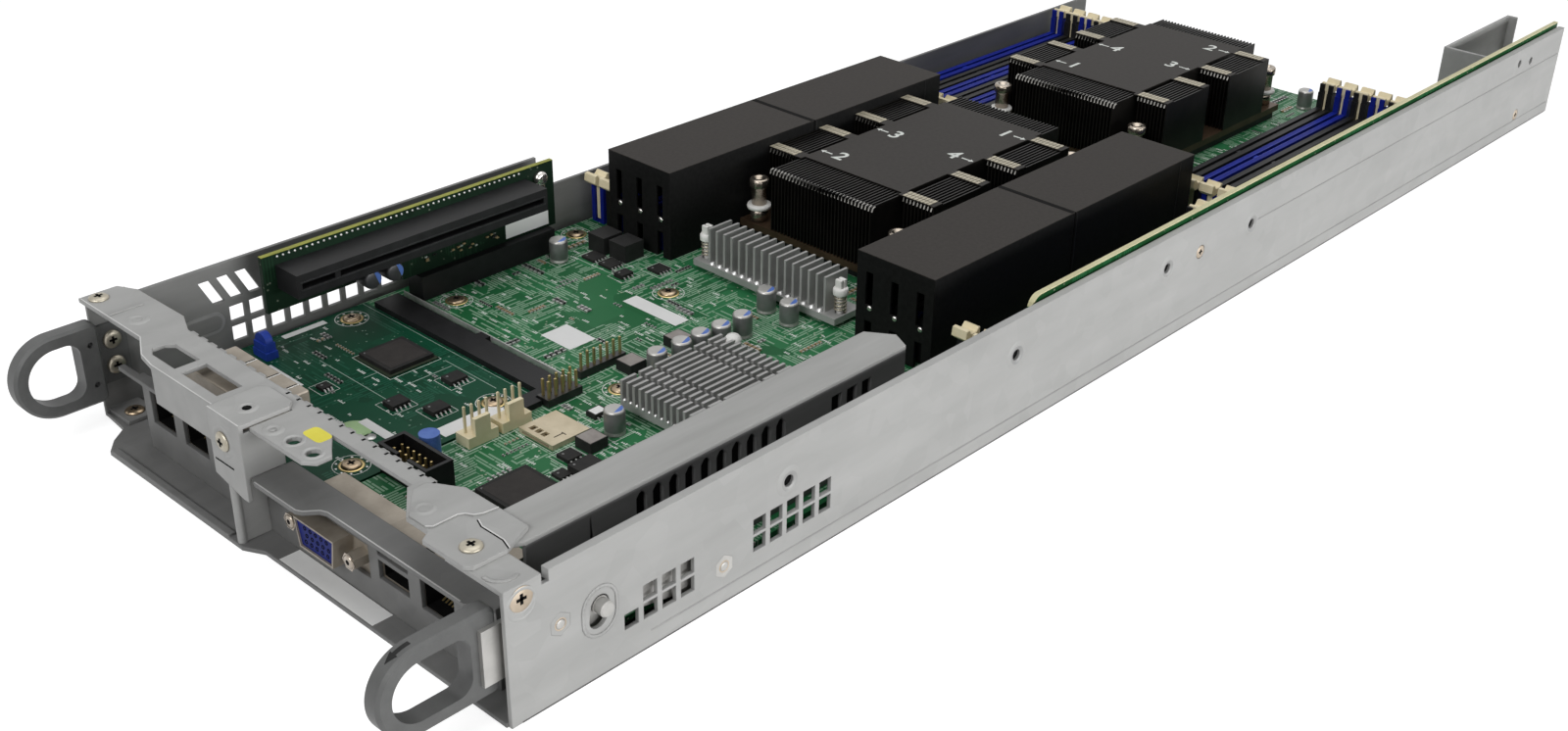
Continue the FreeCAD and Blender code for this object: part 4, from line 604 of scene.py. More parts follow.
def solids(node):
    # The corners, in mm, of each separate solid of a CAD node.
    bm = bmesh.new()
    bm.from_mesh(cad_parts[node].data)
    bmesh.ops.remove_doubles(bm, verts=bm.verts, dist=1e-6)
    left = set(bm.verts)
    found = []
    while left:
        todo = [left.pop()]
        group = list(todo)
        while todo:
            for edge in todo.pop().link_edges:
                for other in edge.verts:
                    if other in left:
                        left.remove(other)
                        todo.append(other)
                        group.append(other)
        points = [v.co for v in group]
        low = Vector([min(p[i] for p in points) for i in range(3)]) / MM
        high = Vector([max(p[i] for p in points) for i in range(3)]) / MM
        found.append((low, high))
    bm.free()
    return sorted(found, key=lambda pair: (round(pair[0].y, 2), round(pair[0].x, 2)))


# Screws: domed heads with a cross recess, where the CAD has its screws
SHANK_R = 1.3
# Ring of plated pads round a board hole: its radius and the number of pads
PAD_RING_R, PADS = 4.3, 10


def cross_recess(piece, place, axis, size):
    # A dark cross that lies on the head's face: painted shade standing for the recess.
    for a, b in ((size, size * 0.3), (size * 0.3, size)):
        reach, rise = {"Z": ((a, b, 0), (0, 0, 0.06)), "X": ((0, a, b), (0.06, 0, 0)),
                       "Y": ((a, 0, b), (0, 0.06, 0))}[axis]
        low, high = [p - q for p, q in zip(place, reach)], [p + q for p, q in zip(place, reach)]
        if axis == "Y":
            low = [p - q for p, q in zip(low, rise)]
        else:
            high = [p + q for p, q in zip(high, rise)]
        piece.block(low, high, "recess")


@detail(slot="yellow_zinc", instead_of=["screws"])
def screw_heads(piece):
    for low, high in solids("screws"):
        size, mid = high - low, (low + high) / 2
        if abs(size.x - size.y) < 0.4:
            axis, r, tall = "Z", size.x / 2, size.z
            top = Vector((mid.x, mid.y, high.z))
        elif abs(size.y - size.z) < 0.4:
            axis, r, tall = "X", size.y / 2, size.x
            top = Vector((high.x, mid.y, mid.z))
        else:
            axis, r, tall = "Y", size.x / 2, size.y
            top = Vector((mid.x, low.y, mid.z))
        way = -1 if axis == "Y" else 1
        on_wall = axis == "X" and high.x > 0
        finish = "pale_screw" if on_wall else ("board_screw" if top.z < 12 and axis == "Z" else "brass")
        if on_wall:
            head = [(SHANK_R, -1.2), (r, -0.15), (r - 0.15, 0), (0, 0)]
        else:
            head = [(SHANK_R, -1.5), (r, -1.5), (r, -1.15), (r * 0.82, -0.75), (r * 0.5, -0.6), (0, -0.6)]
        piece.turned(top, [(0, -tall), (SHANK_R, -tall)] + head, finish, axis, way, 20)
        sunk = 0.0 if on_wall else 0.6
        face = top - Vector({"Z": (0, 0, sunk), "X": (sunk, 0, 0), "Y": (0, -sunk, 0)}[axis])
        cross_recess(piece, face, axis, r * 0.42)


@detail()
def screw_pads(piece):
    # Plated ring of pads round each hole of the boards.
    for low, high in solids("screws"):
        if abs(high.z - BOARD_TOP - 1.5) > 0.7 or high.x - low.x < 4:
            continue
        x, y, z = (low.x + high.x) / 2, (low.y + high.y) / 2, BOARD_TOP
        piece.turned((x, y, z), [(2.9, 0), (3.6, 0), (3.6, 0.06), (2.9, 0.06)], "gold")
        for k in range(PADS):
            angle = k * 2 * math.pi / PADS
            piece.turned((x + PAD_RING_R * math.cos(angle), y + PAD_RING_R * math.sin(angle), z),
                         [(0.45, 0), (0.45, 0.05), (0, 0.12)], "tin", sides=8)
        piece.turned((x, y, z), [(5.0, 0), (5.25, 0), (5.25, 0.03), (5.0, 0.03)], "print_white", sides=28)


# Electrolytic cans: crimped foot, rolled top and a coloured segment
CAN_R = 3.1
SEGMENT_TURN = math.radians(20)
SEGMENT_HALF = math.acos(0.42)
BLUE_ARC = [SEGMENT_TURN + SEGMENT_HALF * (k / 8.0) for k in range(-8, 9)]
METAL_ARC = [SEGMENT_TURN + SEGMENT_HALF + (2 * math.pi - 2 * SEGMENT_HALF) * (k / 20.0) for k in range(21)]


def segment(piece, arc, middle, r, base, rise, finish, axis="Z"):
    # Part of a can's lid: the blue polarity mark or the bright rest.
    outline = [(middle[0] + r * math.cos(a), middle[1] + r * math.sin(a)) for a in arc]
    piece.plate(outline, base, rise, finish, axis)


@detail(instead_of=["capacitors"])
def capacitor_cans(piece):
    for low, high in solids("capacitors"):
        size = high - low
        upright = size.z > size.x
        r, tall = CAN_R, size.z if upright else size.x
        crimp = [(0, 0), (r, 0), (r, 0.5), (r - 0.25, 0.9), (r - 0.25, 1.2), (r, 1.6)]
        profile = crimp + [(r, tall - 0.7), (r - 0.2, tall - 0.25), (r - 0.6, tall)]
        if upright:
            place = ((low.x + high.x) / 2, (low.y + high.y) / 2, low.z)
            faces = piece.turned(place, profile, "can", "Z", 1, 32)
            for face in faces:
                z = face.calc_center_median().z / MM - low.z
                if z < 1.3 or z > tall - 0.75:
                    piece.paint([face], "bright_steel")
            for arc, tone in ((BLUE_ARC, "blue_sleeve"), (METAL_ARC, "bright_steel")):
                segment(piece, arc, place, r - 0.6, low.z + tall - 0.1, 0.1, tone)
        else:
            place = (low.x, (low.y + high.y) / 2, (low.z + high.z) / 2)
            piece.turned(place, profile + [(0, tall)], "can_dark", "X", 1, 32)
            segment(piece, BLUE_ARC, place[1:], r - 0.5, low.x + tall, 0.05, "blue_sleeve", "X")


# Captive nuts of the processor sinks: plated posts with a white washer
@detail(instead_of=["heat_sink_nuts"])
def captive_nuts(piece):
    for low, high in solids("heat_sink_nuts"):
        place = ((low.x + high.x) / 2, (low.y + high.y) / 2, low.z)
        tall = high.z - low.z
        post = [(0, 0), (3.0, 0), (3.0, 4.4), (2.6, 4.6), (2.6, 6.2), (2.7, 6.4), (2.7, tall - 3.4),
                (3.2, tall - 3.1), (3.4, tall - 2.8), (3.4, tall - 0.5), (3.0, tall), (1.7, tall),
                (1.5, tall - 1.4), (0, tall - 1.4)]
        washer = [(2.6, 4.5), (4.1, 4.6), (4.25, 5.3), (4.1, 6.0), (2.6, 6.1)]
        piece.turned(place, post, "nut")
        piece.turned(place, washer, "white_plastic")


# Push pins of the tall sink: white split heads over brass springs
@detail(instead_of=["push_pins"])
def spring_pins(piece):
    for low, high in solids("push_pins"):
        x, y = (low.x + high.x) / 2, (low.y + high.y) / 2
        top = high.z
        z1 = low.z + 3.7
        piece.turned((x, y, low.z), [(0, 0), (1.2, 0), (1.2, 11.0), (0, 11.0)], "white_plastic", sides=12)
        piece.coil((x, y, z1 + 0.4), 1.75, 0.38, 1.25, 4.6, "brass")
        piece.turned((x, y, z1 + 6.2), [(0, 0), (2.4, 0), (2.5, 0.3), (2.5, 1.9), (2.1, 2.4), (0, 2.4)],
                     "white_plastic", sides=20)
        for way in (-1, 1):
            piece.block((x - 1.3, y + 0.2 if way > 0 else y - 1.4, z1 + 8.4),
                        (x + 1.3, y + 1.4 if way > 0 else y - 0.2, top), "white_plastic", 0.25)


# Processor sinks: folded fin tabs, bent fin fronts with a painted glint, lid marks
SINKS = ("front_heat_sink", "rear_heat_sink")
WING_INSET, WING_NOTCH, STRIP, WING_WIDTH = 14.0, 15.0, 4.6, 13.0
TAB_PITCH = 1.45
LID_SIDE = 13.7
FIN_BEND = 1.6


def wing_blocks(low, high):
    middle = (low.y + high.y) / 2
    return [(low.y + WING_INSET, middle - WING_NOTCH / 2), (middle + WING_NOTCH / 2, high.y - WING_INSET)]


@detail(slot="black_aluminium")
def fin_tabs(piece):
    # Two rows of folded tabs at each end of each block of side fins.
    for node in SINKS:
        low, high = mm_box(node)
        top = high.z
        for x0 in (low.x + 0.2, high.x - WING_WIDTH - 0.2):
            for y0, y1 in wing_blocks(low, high):
                for start in (y0, y1 - STRIP):
                    for row in (0.15, 2.45):
                        for k in range(int(WING_WIDTH / TAB_PITCH)):
                            x = x0 + k * TAB_PITCH
                            piece.block((x, start + row, top),
                                        (x + TAB_PITCH - 0.3, start + row + 1.95, top + 0.14), "fin_tab")


@detail(slot="black_aluminium")
def fin_bends(piece):
    # The rounded upper front corners of the fins, light grey as a painted glint on the black fins.
    for node in SINKS:
        low, high = mm_box(node)
        top = high.z - 0.4
        rows = [(low.x + LID_SIDE, high.x - LID_SIDE, low.y)]
        for y in (low.y + WING_INSET, (low.y + high.y) / 2 + WING_NOTCH / 2):
            rows += [(low.x + 0.3, low.x + WING_WIDTH, y), (high.x - WING_WIDTH, high.x - 0.3, y)]
        for x0, x1, y in rows:
            for k in range(int((x1 - x0) / TAB_PITCH) + 1):
                x = x0 + k * TAB_PITCH
                outline = [(y - 0.02, top - FIN_BEND), (y + 0.5 * FIN_BEND - 0.35, top - 0.35),
                           (y + FIN_BEND, top + 0.02), (y + FIN_BEND, top - 0.2),
                           (y + 0.5 * FIN_BEND, top - 0.6), (y + 0.2, top - FIN_BEND)]
                piece.plate(outline, x, 0.5, "fin_glint", "X")


LID_MARKS = {"front_heat_sink": ((-1, 0, "3"), (1, 1, "1"), (-1, -1, "2"), (1, 0, "4")),
             "rear_heat_sink": ((-1, 0, "4"), (1, 1, "2"), (-1, -1, "1"), (1, 0, "3"))}
MARK_HEIGHT = 9.0


def flat_text(piece, words, place, height, finish):
    # Plain figures as thin raised print.
    curve = bpy.data.curves.new("mark", "FONT")
    curve.body = words
    curve.size = height * MM
    curve.align_x = curve.align_y = "CENTER"
    curve.extrude = 0.00003
    curve.offset = 0.00015
    curve.resolution_u = 4
    holder = link(bpy.data.objects.new("mark", curve))
    bpy.context.view_layer.update()
    mesh = bpy.data.meshes.new_from_object(holder)
    bpy.data.objects.remove(holder)
    before = set(piece.bm.faces)
    mesh.transform(Matrix.Translation(Vector(place) * MM))
    piece.bm.from_mesh(mesh)
    bpy.data.meshes.remove(mesh)
    bpy.data.curves.remove(curve)
    piece.paint([f for f in piece.bm.faces if f not in before], finish)


def arrow(piece, x, y, z, length, way, finish):
    half, neck = length / 2, length / 2 - 1.6
    outline = [(-half, -0.35), (neck, -0.35), (neck, -1.15), (half, 0.0), (neck, 1.15), (neck, 0.35),
               (-half, 0.35)]
    piece.plate([(x + way * a, y + way * b) for a, b in outline], z, 0.03, finish)


@detail()
def lid_marks(piece):
    for node in SINKS:
        low, high = mm_box(node)
        mid = (low + high) / 2
        z = high.z
        for way_x, way_y, words in LID_MARKS[node]:
            x = mid.x + way_x * 13.0
            y = mid.y + 2.5 + way_y * 29.0
            flat_text(piece, words, (x, y, z + 0.03), MARK_HEIGHT, "print_white")
            arrow(piece, x + way_x * 6.0, y + way_y * 0.4, z, 5.0, way_x, "print_white")


# Fin roots of the two aluminium sinks: the small fillets between fins, bright as painted highlights
FIN_GAPS = 15
TALL_RIM, TALL_FIN = 5.4, 0.9
CHIPSET_FIRST_GAP, CHIPSET_PITCH = 1.78, 2.55


@detail(slot="plain_aluminium")
def fin_roots(piece):
    low, high = mm_box("tall_heat_sink")
    pitch = (high.x - low.x - 2 * TALL_RIM - TALL_FIN) / FIN_GAPS
    for k in range(FIN_GAPS):
        x = low.x + TALL_RIM + (k + 0.5) * pitch + TALL_FIN / 2
        piece.turned((x, low.y + 1.5, low.z + 3.7), [(1.1, 0), (0.9, 0.4), (0.5, 0.7), (0, 0.8)],
                     "bright_aluminium", sides=10)
    low = mm_box("chipset_heat_sink")[0]
    for k in range(FIN_GAPS):
        x = low.x + CHIPSET_FIRST_GAP + k * CHIPSET_PITCH
        piece.turned((x, low.y + 0.1, low.z + 3.8), [(0.62, 0), (0.62, 0.5), (0.3, 0.9), (0, 1.0)],
                     "bright_aluminium", sides=8)


# Shrouds: pegs at the foot of the front grooves, the joint between the halves darkened with painted shade,
# and two step lines
@detail()
def shroud_fittings(piece):
    for side in SIDES:
        low, high = mm_box(side + "_front_shroud")
        step = (high.x - low.x) / 3
        for k in range(3):
            x = low.x + (k + 0.5) * step
            piece.turned((x + 0.5, low.y - 0.02, high.z - 17.8),
                         [(0.9, 0), (0.9, 0.2), (0.5, 0.4), (0, 0.45)], "chrome", "Y", -1, 12)
        low, high = mm_box(side + "_back_shroud")
        piece.block((low.x + 0.2, low.y - 1.9, high.z - 0.02), (high.x - 0.2, low.y - 0.1, high.z + 0.05),
                    "recess")
        for y in (low.y + 0.6, high.y - 9.0):
            piece.block((high.x, y, low.z + 1.0), (high.x + 0.15, y + 0.5, high.z - 0.6), "black_plastic",
                        0.05)


# Blue D-shaped insert of the video connector, with its sockets and two hexagonal jackscrews
VIDEO_MIDDLE = (18.8, 12.6)
VIDEO_HALF_WIDTH, VIDEO_HALF_HEIGHT, VIDEO_SLOPE = 7.9, 3.6, 1.25
VIDEO_HOLE = [(0.62, 0), (0.62, 0.1), (0.35, 0.1), (0.35, -0.2), (0, -0.2)]
JACKSCREW_PLACE, JACKSCREW_R = 12.5, 2.5


@detail()
def video_insert(piece):
    x, z = VIDEO_MIDDLE
    w, h, slope = VIDEO_HALF_WIDTH, VIDEO_HALF_HEIGHT, VIDEO_SLOPE
    front = mm_box("vga_connector")[0].y
    outline = [(z + h, x - w), (z + h, x + w), (z - h, x + w - slope), (z - h, x - w + slope)]
    piece.plate(outline, front + 0.5, 1.45, "connector_blue", "Y")
    for row in range(3):
        for k in range(5):
            px = x + (k - 2) * 2.3 + (0.6 if row == 1 else 0.0)
            pz = z + (row - 1) * 1.98
            # Socket holes, dark with painted shade.
            piece.turned((px, front + 0.52, pz), VIDEO_HOLE, "recess", "Y", -1, 10)
    for way in (-1, 1):
        sx = x + way * JACKSCREW_PLACE
        corners = [k * math.pi / 3 for k in range(6)]
        outline = [(z + JACKSCREW_R * math.sin(a), sx + JACKSCREW_R * math.cos(a)) for a in corners]
        piece.plate(outline, 2.5, 0.12, "nut", "Y")
        piece.turned((sx, 2.5, z), [(1.9, 0), (1.9, 0.1), (1.5, 0.3), (0.9, 0.3), (0, 0.3)], "nut", "Y", -1,
                     20)
        # Painted shade in the jackscrew's hole.
        piece.disc((sx, 2.2, z), 0.7, 0.03, "recess", "Y", -1, 14)


# Painted shade lining the insides of the ports, and the ports' contacts
PORTS = ((-64.6, -53.0, 10.2, 20.6), (-48.4, -36.8, 10.2, 20.6), (55.4, 68.2, 9.6, 20.0))
PORT_CONTACTS = 8
PORT_FRONT, PORT_BACK = 7.25, 20.1
USB_PORTS = ((38.7, 50.7, 9.9, 15.4), (38.7, 50.7, 16.7, 21.4))


@detail()
def port_linings(piece):
    y0, y1, t = PORT_FRONT, PORT_BACK, 0.25
    for x0, x1, z0, z1 in PORTS:
        low, high = z0 + 0.02, z1 - 0.02
        for a, b in (((x0 + 0.02, y0, low), (x0 + t, y1, high)), ((x1 - t, y0, low), (x1 - 0.02, y1, high)),
                     ((x0 + t, y0, z1 - t), (x1 - t, y1, high)), ((x0 + t, y0, low), (x1 - t, y1, z0 + t)),
                     ((x0 + t, y1 - 0.4, z0 + t), (x1 - t, y1 - 0.05, z1 - t))):
            piece.block(a, b, "recess")
        pitch = (x1 - x0 - 3.0) / PORT_CONTACTS
        for k in range(PORT_CONTACTS):
            x = x0 + 1.5 + (k + 0.5) * pitch
            outline = [(y0 + 3.0, z0 + 1.0), (y0 + 3.4, z0 + 1.0), (y1 - 0.5, z0 + 4.6), (y1 - 0.5, z0 + 5.0)]
            piece.plate(outline, x - 0.25, 0.5, "gold", "X")
    for x0, x1, z0, z1 in USB_PORTS:
        mid = (z0 + z1) / 2
        for k in range(4):
            x = x0 + 2.0 + k * (x1 - x0 - 4.0) / 3
            piece.block((x - 0.5, 9.0, mid + 0.28), (x + 0.5, 16.0, mid + 0.4), "gold")
        for b0, b1 in ((z0 + 0.02, mid + 0.2), (mid + 2.4, z1 - 0.02)):
            piece.block((x0 + 0.02, y0 + 6.0, b0), (x1 - 0.02, y1, b1), "recess")
        for a0, a1 in ((x0 + 0.02, x0 + 0.2), (x1 - 0.2, x1 - 0.02)):
            piece.block((a0, y0 + 0.4, z0 + 0.02), (a1, y0 + 6.0, z1 - 0.02), "recess")
        for b0, b1 in ((z0 + 0.02, z0 + 0.2), (z1 - 0.2, z1 - 0.02)):
            piece.block((x0 + 0.2, y0 + 0.4, b0), (x1 - 0.2, y0 + 6.0, b1), "recess")


# Upper cage of the two network jacks, seen behind the bridge and through its windows
CAGE = ((-47.0, 8.2, 22.4), (-12.6, 23.6, 34.2))


@detail()
def jack_cage(piece):
    (x0, y0, _), (x1, y1, z1) = CAGE
    piece.block(*CAGE, "jack_steel", 0.4)
    for share in (0.30, 0.62, 0.86):
        x = x0 + share * (x1 - x0)
        # Slits and holes in the cage top, dark with painted shade.
        piece.block((x - 0.25, y1 - 4.6, z1 - 0.02), (x + 0.25, y1 - 0.6, z1 + 0.04), "recess")
        piece.block((x + 0.35, y1 - 4.6, z1 - 0.02), (x + 0.75, y1 - 0.4, z1 + 0.16), "bright_steel", 0.05)
    for x in (x0 + 8.0, x0 + 14.0, x0 + 26.0):
        piece.disc((x, y0 + 6.0, z1), 0.7, 0.03, "recess", sides=14)


# Riser: bare laminate along its top edge, soldered tails of the slot, groove lines, label and screws
TAIL_PITCH = 2.0
SMALL_PARTS = ("smd_tan", "smd_black", "tin")


@detail()
def riser_details(piece):
    low, high = mm_box("riser_card")
    slot_low, slot_high = mm_box("riser_slot")
    face = high.x
    piece.block((low.x - 0.02, low.y, high.z - 0.02), (face + 0.02, high.y, high.z + 0.12), "laminate")
    for k in range(int((slot_high.y - slot_low.y) / TAIL_PITCH)):
        y = slot_low.y + (k + 0.5) * TAIL_PITCH
        piece.turned((face, y, high.z - 1.0), [(0.38, 0), (0.32, 0.22), (0, 0.38)], "tin", "X", 1, 8)
    front = slot_high.x
    for share in (0.30, 0.62):
        z = slot_low.z + share * (slot_high.z - slot_low.z)
        piece.block((front, slot_low.y + 1.0, z), (front + 0.12, slot_high.y - 1.0, z + 0.5), "black_gloss",
                    0.05)
    piece.turned((face, high.y - 6.0, high.z - 4.6),
                 [(0, 0), (2.5, 0), (2.5, 1.4), (1.9, 2.0), (1.2, 2.2), (0, 2.2)], "chrome", "X", 1, 20)
    piece.turned((face, high.y - 6.0, high.z - 8.0), [(0, 0), (1.9, 0), (1.9, 0.8), (1.2, 1.2), (0, 1.2)],
                 "chrome", "X", 1, 16)
    label_low, label_high = mm_box("riser_socket")[1].z + 0.9, slot_low.z - 0.5
    piece.block((face, high.y - 21.0, label_low), (face + 0.1, high.y - 3.0, label_high), "label_white", 0.03)
    spread = random.Random(5)
    for k in range(26):
        y = spread.uniform(low.y + 44, high.y - 24)
        z = spread.uniform(17.0, 19.4)
        piece.block((face, y, z), (face + 0.5, y + 1.0, z + 0.5), spread.choice(SMALL_PARTS))


# Side board: cream laminate edge, contact pads and a few parts on its inner face
SIDE_RIM, SIDE_CORNER = 0.35, 4.0
SIDE_PADS, SIDE_PAD_PITCH = 12, 2.6


@detail()
def side_board_details(piece):
    low, high = mm_box("side_board")
    corner = SIDE_CORNER
    arc = []
    for k in range(7):
        angle = math.pi / 2 + k * math.pi / 12
        arc.append((low.y + corner + corner * math.cos(angle), high.z - corner + corner * math.sin(angle)))
    outer = [(high.y, high.z)] + arc + [(low.y, low.z)]
    inner = [(low.y + SIDE_RIM, low.z)] + [(y + SIDE_RIM, z - SIDE_RIM) for y, z in reversed(arc)]
    rim = outer + inner + [(high.y, high.z - SIDE_RIM)]
    piece.plate([(y, z + 0.1) for y, z in rim], low.x - 0.03, high.x - low.x + 0.06, "laminate_cream", "X")
    for k in range(SIDE_PADS):
        y = high.y - 4.0 - k * SIDE_PAD_PITCH
        piece.block((low.x - 0.08, y - 1.6, high.z - 7.0), (low.x, y, high.z - 1.6), "gold")
    spread = random.Random(9)
    for k in range(40):
        y = spread.uniform(low.y + 8, high.y - 50)
        z = spread.uniform(low.z + 3, high.z - 5)
        piece.block((low.x - 0.5, y, z), (low.x, y + 1.6, z + 0.8), spread.choice(SMALL_PARTS))


# Light metal strip along the back of the housing that joins the two boards
@detail()
def joint_strip(piece):
    low, high = mm_box("card_connector")
    piece.block((low.x, high.y - 0.1, BOARD_TOP), (high.x - 6.0, high.y + 0.3, high.z + 0.02), "tin", 0.08)


# Edge of the network card under the joining housing, with its printed line
BAR_FRONT = 93.55


@detail()
def card_edge(piece):
    low, high = mm_box("network_card")
    piece.block((low.x + 0.3, high.y + 0.02, BOARD_TOP - 0.3), (high.x - 3.2, BAR_FRONT, BOARD_TOP + 0.04),
                "card", 0.02)
    piece.block((low.x + 0.3, BAR_FRONT - 1.3, BOARD_TOP + 0.04),
                (high.x - 3.2, BAR_FRONT - 1.1, BOARD_TOP + 0.06), "print_pale")


# Pale pressed tops of the small chokes
@detail()
def choke_tops(piece):
    for low, high in solids("chokes"):
        if high.z - low.z > 5:
            continue
        piece.block((low.x + 0.25, low.y + 0.25, high.z - 0.02),
                    (high.x - 0.25, high.y - 0.25, high.z + 0.06), "choke_top", 0.03)


# Pressed marks in the card socket's shell, dark with painted shade
@detail()
def card_socket_marks(piece):
    low, high = mm_box("card_socket")
    x, y = high.x - 3.4, low.y + 3.2
    piece.block((x, y, high.z - 0.02), (x + 0.35, y + 3.2, high.z + 0.03), "recess")
    piece.block((x - 0.5, y + 3.2, high.z - 0.02), (x + 1.4, y + 3.5, high.z + 0.03), "recess")


# Gold pins in the box header
HEADER_PITCH, HEADER_COLUMNS, HEADER_PIN_HALF = 2.54, 7, 0.32


@detail()
def ribbon_pins(piece):
    low, high = mm_box("box_header")
    half = HEADER_PIN_HALF
    for k in range(HEADER_COLUMNS):
        for row in (-0.5, 0.5):
            x = (low.x + high.x) / 2 + (k - (HEADER_COLUMNS - 1) / 2) * HEADER_PITCH
            y = (low.y + high.y) / 2 + row * HEADER_PITCH
            piece.block((x - half, y - half, low.z + 2.0), (x + half, y + half, high.z - 1.6), "gold", 0.1)


# Galvanised sheet: embossed rings, creases darkened with painted shade, folds with painted highlights, and
# gasket teeth
def raised_ring(piece, place, inner_r, outer_r, rise, finish, axis, way=1):
    mid = (inner_r + outer_r) / 2
    piece.turned(place, [(inner_r, 0), (mid - 0.15, rise), (mid + 0.15, rise), (outer_r, 0)], finish, axis,
                 way, 28)


WALL_FACE, LEFT_WALL_FACE = 95.0, -93.8
WALL_DIMPLES = ((88.9, 25.3), (182.6, 25.2), (260.4, 26.2), (311.3, 25.6))
LEVER_STUD = (66.3, 10.8)
CORNER_STUD = (15.1, 20.8)
CREASE_LOW, CREASE_HIGH = 4.4, 25.6
# The pressed rim round the latch pin's slot: its y, the middles of its two half rounds, radius and width
SLOT_RIM = (26.6, 16.9, 20.0, 4.6, 0.9)
# The long pressed ring of the left wall: middle, half the straight run and radius
LEFT_RING_Y, LEFT_RING_Z, LEFT_RING_RUN, LEFT_RING_R = 39.2, 16.8, 3.6, 2.4


@detail(slot="galvanised_steel")
def wall_embossing(piece):
    x = WALL_FACE
    low, high = mm_box("right_wall")
    for y, z in WALL_DIMPLES:
        # Each dimple's inner slope in the darker crease tone and the dark hole in its middle: painted shade.
        piece.turned((x, y, z), [(1.72, 0.02), (2.3, 0.22), (2.8, 0.30)], "crease", "X", 1, 28)
        piece.turned((x, y, z), [(2.8, 0.30), (3.3, 0.28), (4.3, 0)], "steel", "X", 1, 28)
        piece.disc((x - 0.9, y, z), 1.68, 0.02, "recess", "X", 1, 20)
    for y, z in (LEVER_STUD, CORNER_STUD):
        piece.turned((x, y, z), [(1.25, 0), (1.25, 0.1), (0.9, 0.2), (0, 0.2)], "bright_steel", "X", 1, 16)
        piece.turned((x, y, z), [(1.7, 0), (1.7, 0.06), (1.35, 0.06), (1.35, 0)], "pale_screw", "X", 1, 20)
    # Dark strip along the wall's bottom edge, where it meets the floor: painted shade.
    piece.block((x - 0.02, 3.0, low.z), (x + 0.05, high.y - 2.0, low.z + 0.4), "seam")
    raised_ring(piece, (x, 4.9, 31.6), 3.5, 4.3, 0.12, "steel", "X")
    y, z0, z1, r, w = SLOT_RIM
    for k in range(24):
        quad = []
        for turn, nudge, reach in ((k, 0.01, r), (k, 0.01, r + w), (k + 1, -0.01, r + w), (k + 1, -0.01, r)):
            angle = turn * math.pi / 12
            lift = z1 if math.sin(angle + nudge) > 0 else z0
            quad.append((y + reach * math.cos(angle), lift + reach * math.sin(angle)))
        piece.plate(quad, x, 0.2, "steel", "X")
    for way in (-1, 1):
        side = sorted((y + way * r, y + way * (r + w)))
        piece.block((x, side[0], z0), (x + 0.2, side[1], z1), "steel")
    # Pressed crease lines in the darker crease tone: painted shade.
    piece.block((x, 42.0, CREASE_LOW), (x + 0.14, high.y - 2.0, CREASE_LOW + 0.45), "crease", 0.06)
    piece.block((x, WALL_DIMPLES[-1][0] + 3.0, CREASE_HIGH), (x + 0.14, high.y - 2.0, CREASE_HIGH + 0.45),
                "crease", 0.06)


@detail(slot="galvanised_steel")
def left_wall_embossing(piece):
    x = LEFT_WALL_FACE
    # The pressed ring: an outline in the crease tone and a raised middle in the left wall's inner tone, both
    # painted shade.
    for grow, rise, finish in ((1.0, 0.3, "crease"), (0.0, 0.4, "left_steel_painted_shade")):
        outline = []
        for k in range(24):
            angle = k * math.pi / 12 + math.pi / 24
            y = LEFT_RING_Y + math.copysign(LEFT_RING_RUN, math.cos(angle))
            r = LEFT_RING_R + grow
            outline.append((y + r * math.cos(angle), LEFT_RING_Z + r * math.sin(angle)))
        piece.plate(outline, x, rise, finish, "X")
    # A crease line in the darker crease tone: painted shade.
    piece.block((x, 60.0, 29.5), (x + 0.15, 162.0, 30.0), "crease", 0.06)


TEETH_PITCH, NOTCHED_FROM = 4.6, -13.0
# Rows of fingers: first x, number, how far back they reach and the gap between them
TEETH = ((NOTCHED_FROM, 15, 17.1, 1.0), (-57.0, 8, 17.2, 0.9))
BRIDGE_FOLD = ((-94.0, 5.0), (-62.1, 5.0), (-53.1, 0.3), (-46.0, -0.9), (-16.0, -0.9))
PANEL_FOLD = ((1.0, -2.4), (18.6, -2.4), (20.3, -1.6), (22.9, 1.6), (24.9, 2.4), (76.0, 2.4))


def fold_line(piece, points, z, width):
    # A thin bright strip along a folded edge of a sheet: a painted highlight.
    for (x0, y0), (x1, y1) in zip(points, points[1:]):
        run = math.hypot(x1 - x0, y1 - y0)
        a, b = -(y1 - y0) / run * width / 2, (x1 - x0) / run * width / 2
        piece.plate([(x0 - a, y0 - b), (x1 - a, y1 - b), (x1 + a, y1 + b), (x0 + a, y0 + b)], z, 0.07, "fold")


UPPER_PLATE = ((50.0, 10.2), (58.4, 2.8), (64.6, 2.8), (65.8, 4.0), (65.8, 10.8), (66.6, 12.2), (68.4, 13.2),
               (69.4, 15.0), (70.0, 19.1), (58.2, 19.1), (50.0, 14.0))
UPPER_RISE = 0.45
FLANGE_EDGE = ((70.2, 13.0), (73.0, 11.9), (80.6, 11.9), (84.0, 10.8))
CORNER_BEAD = (88.0, 5.0)
CORNER_BEAD_R = 4.1
TAB_TOP = 36.8


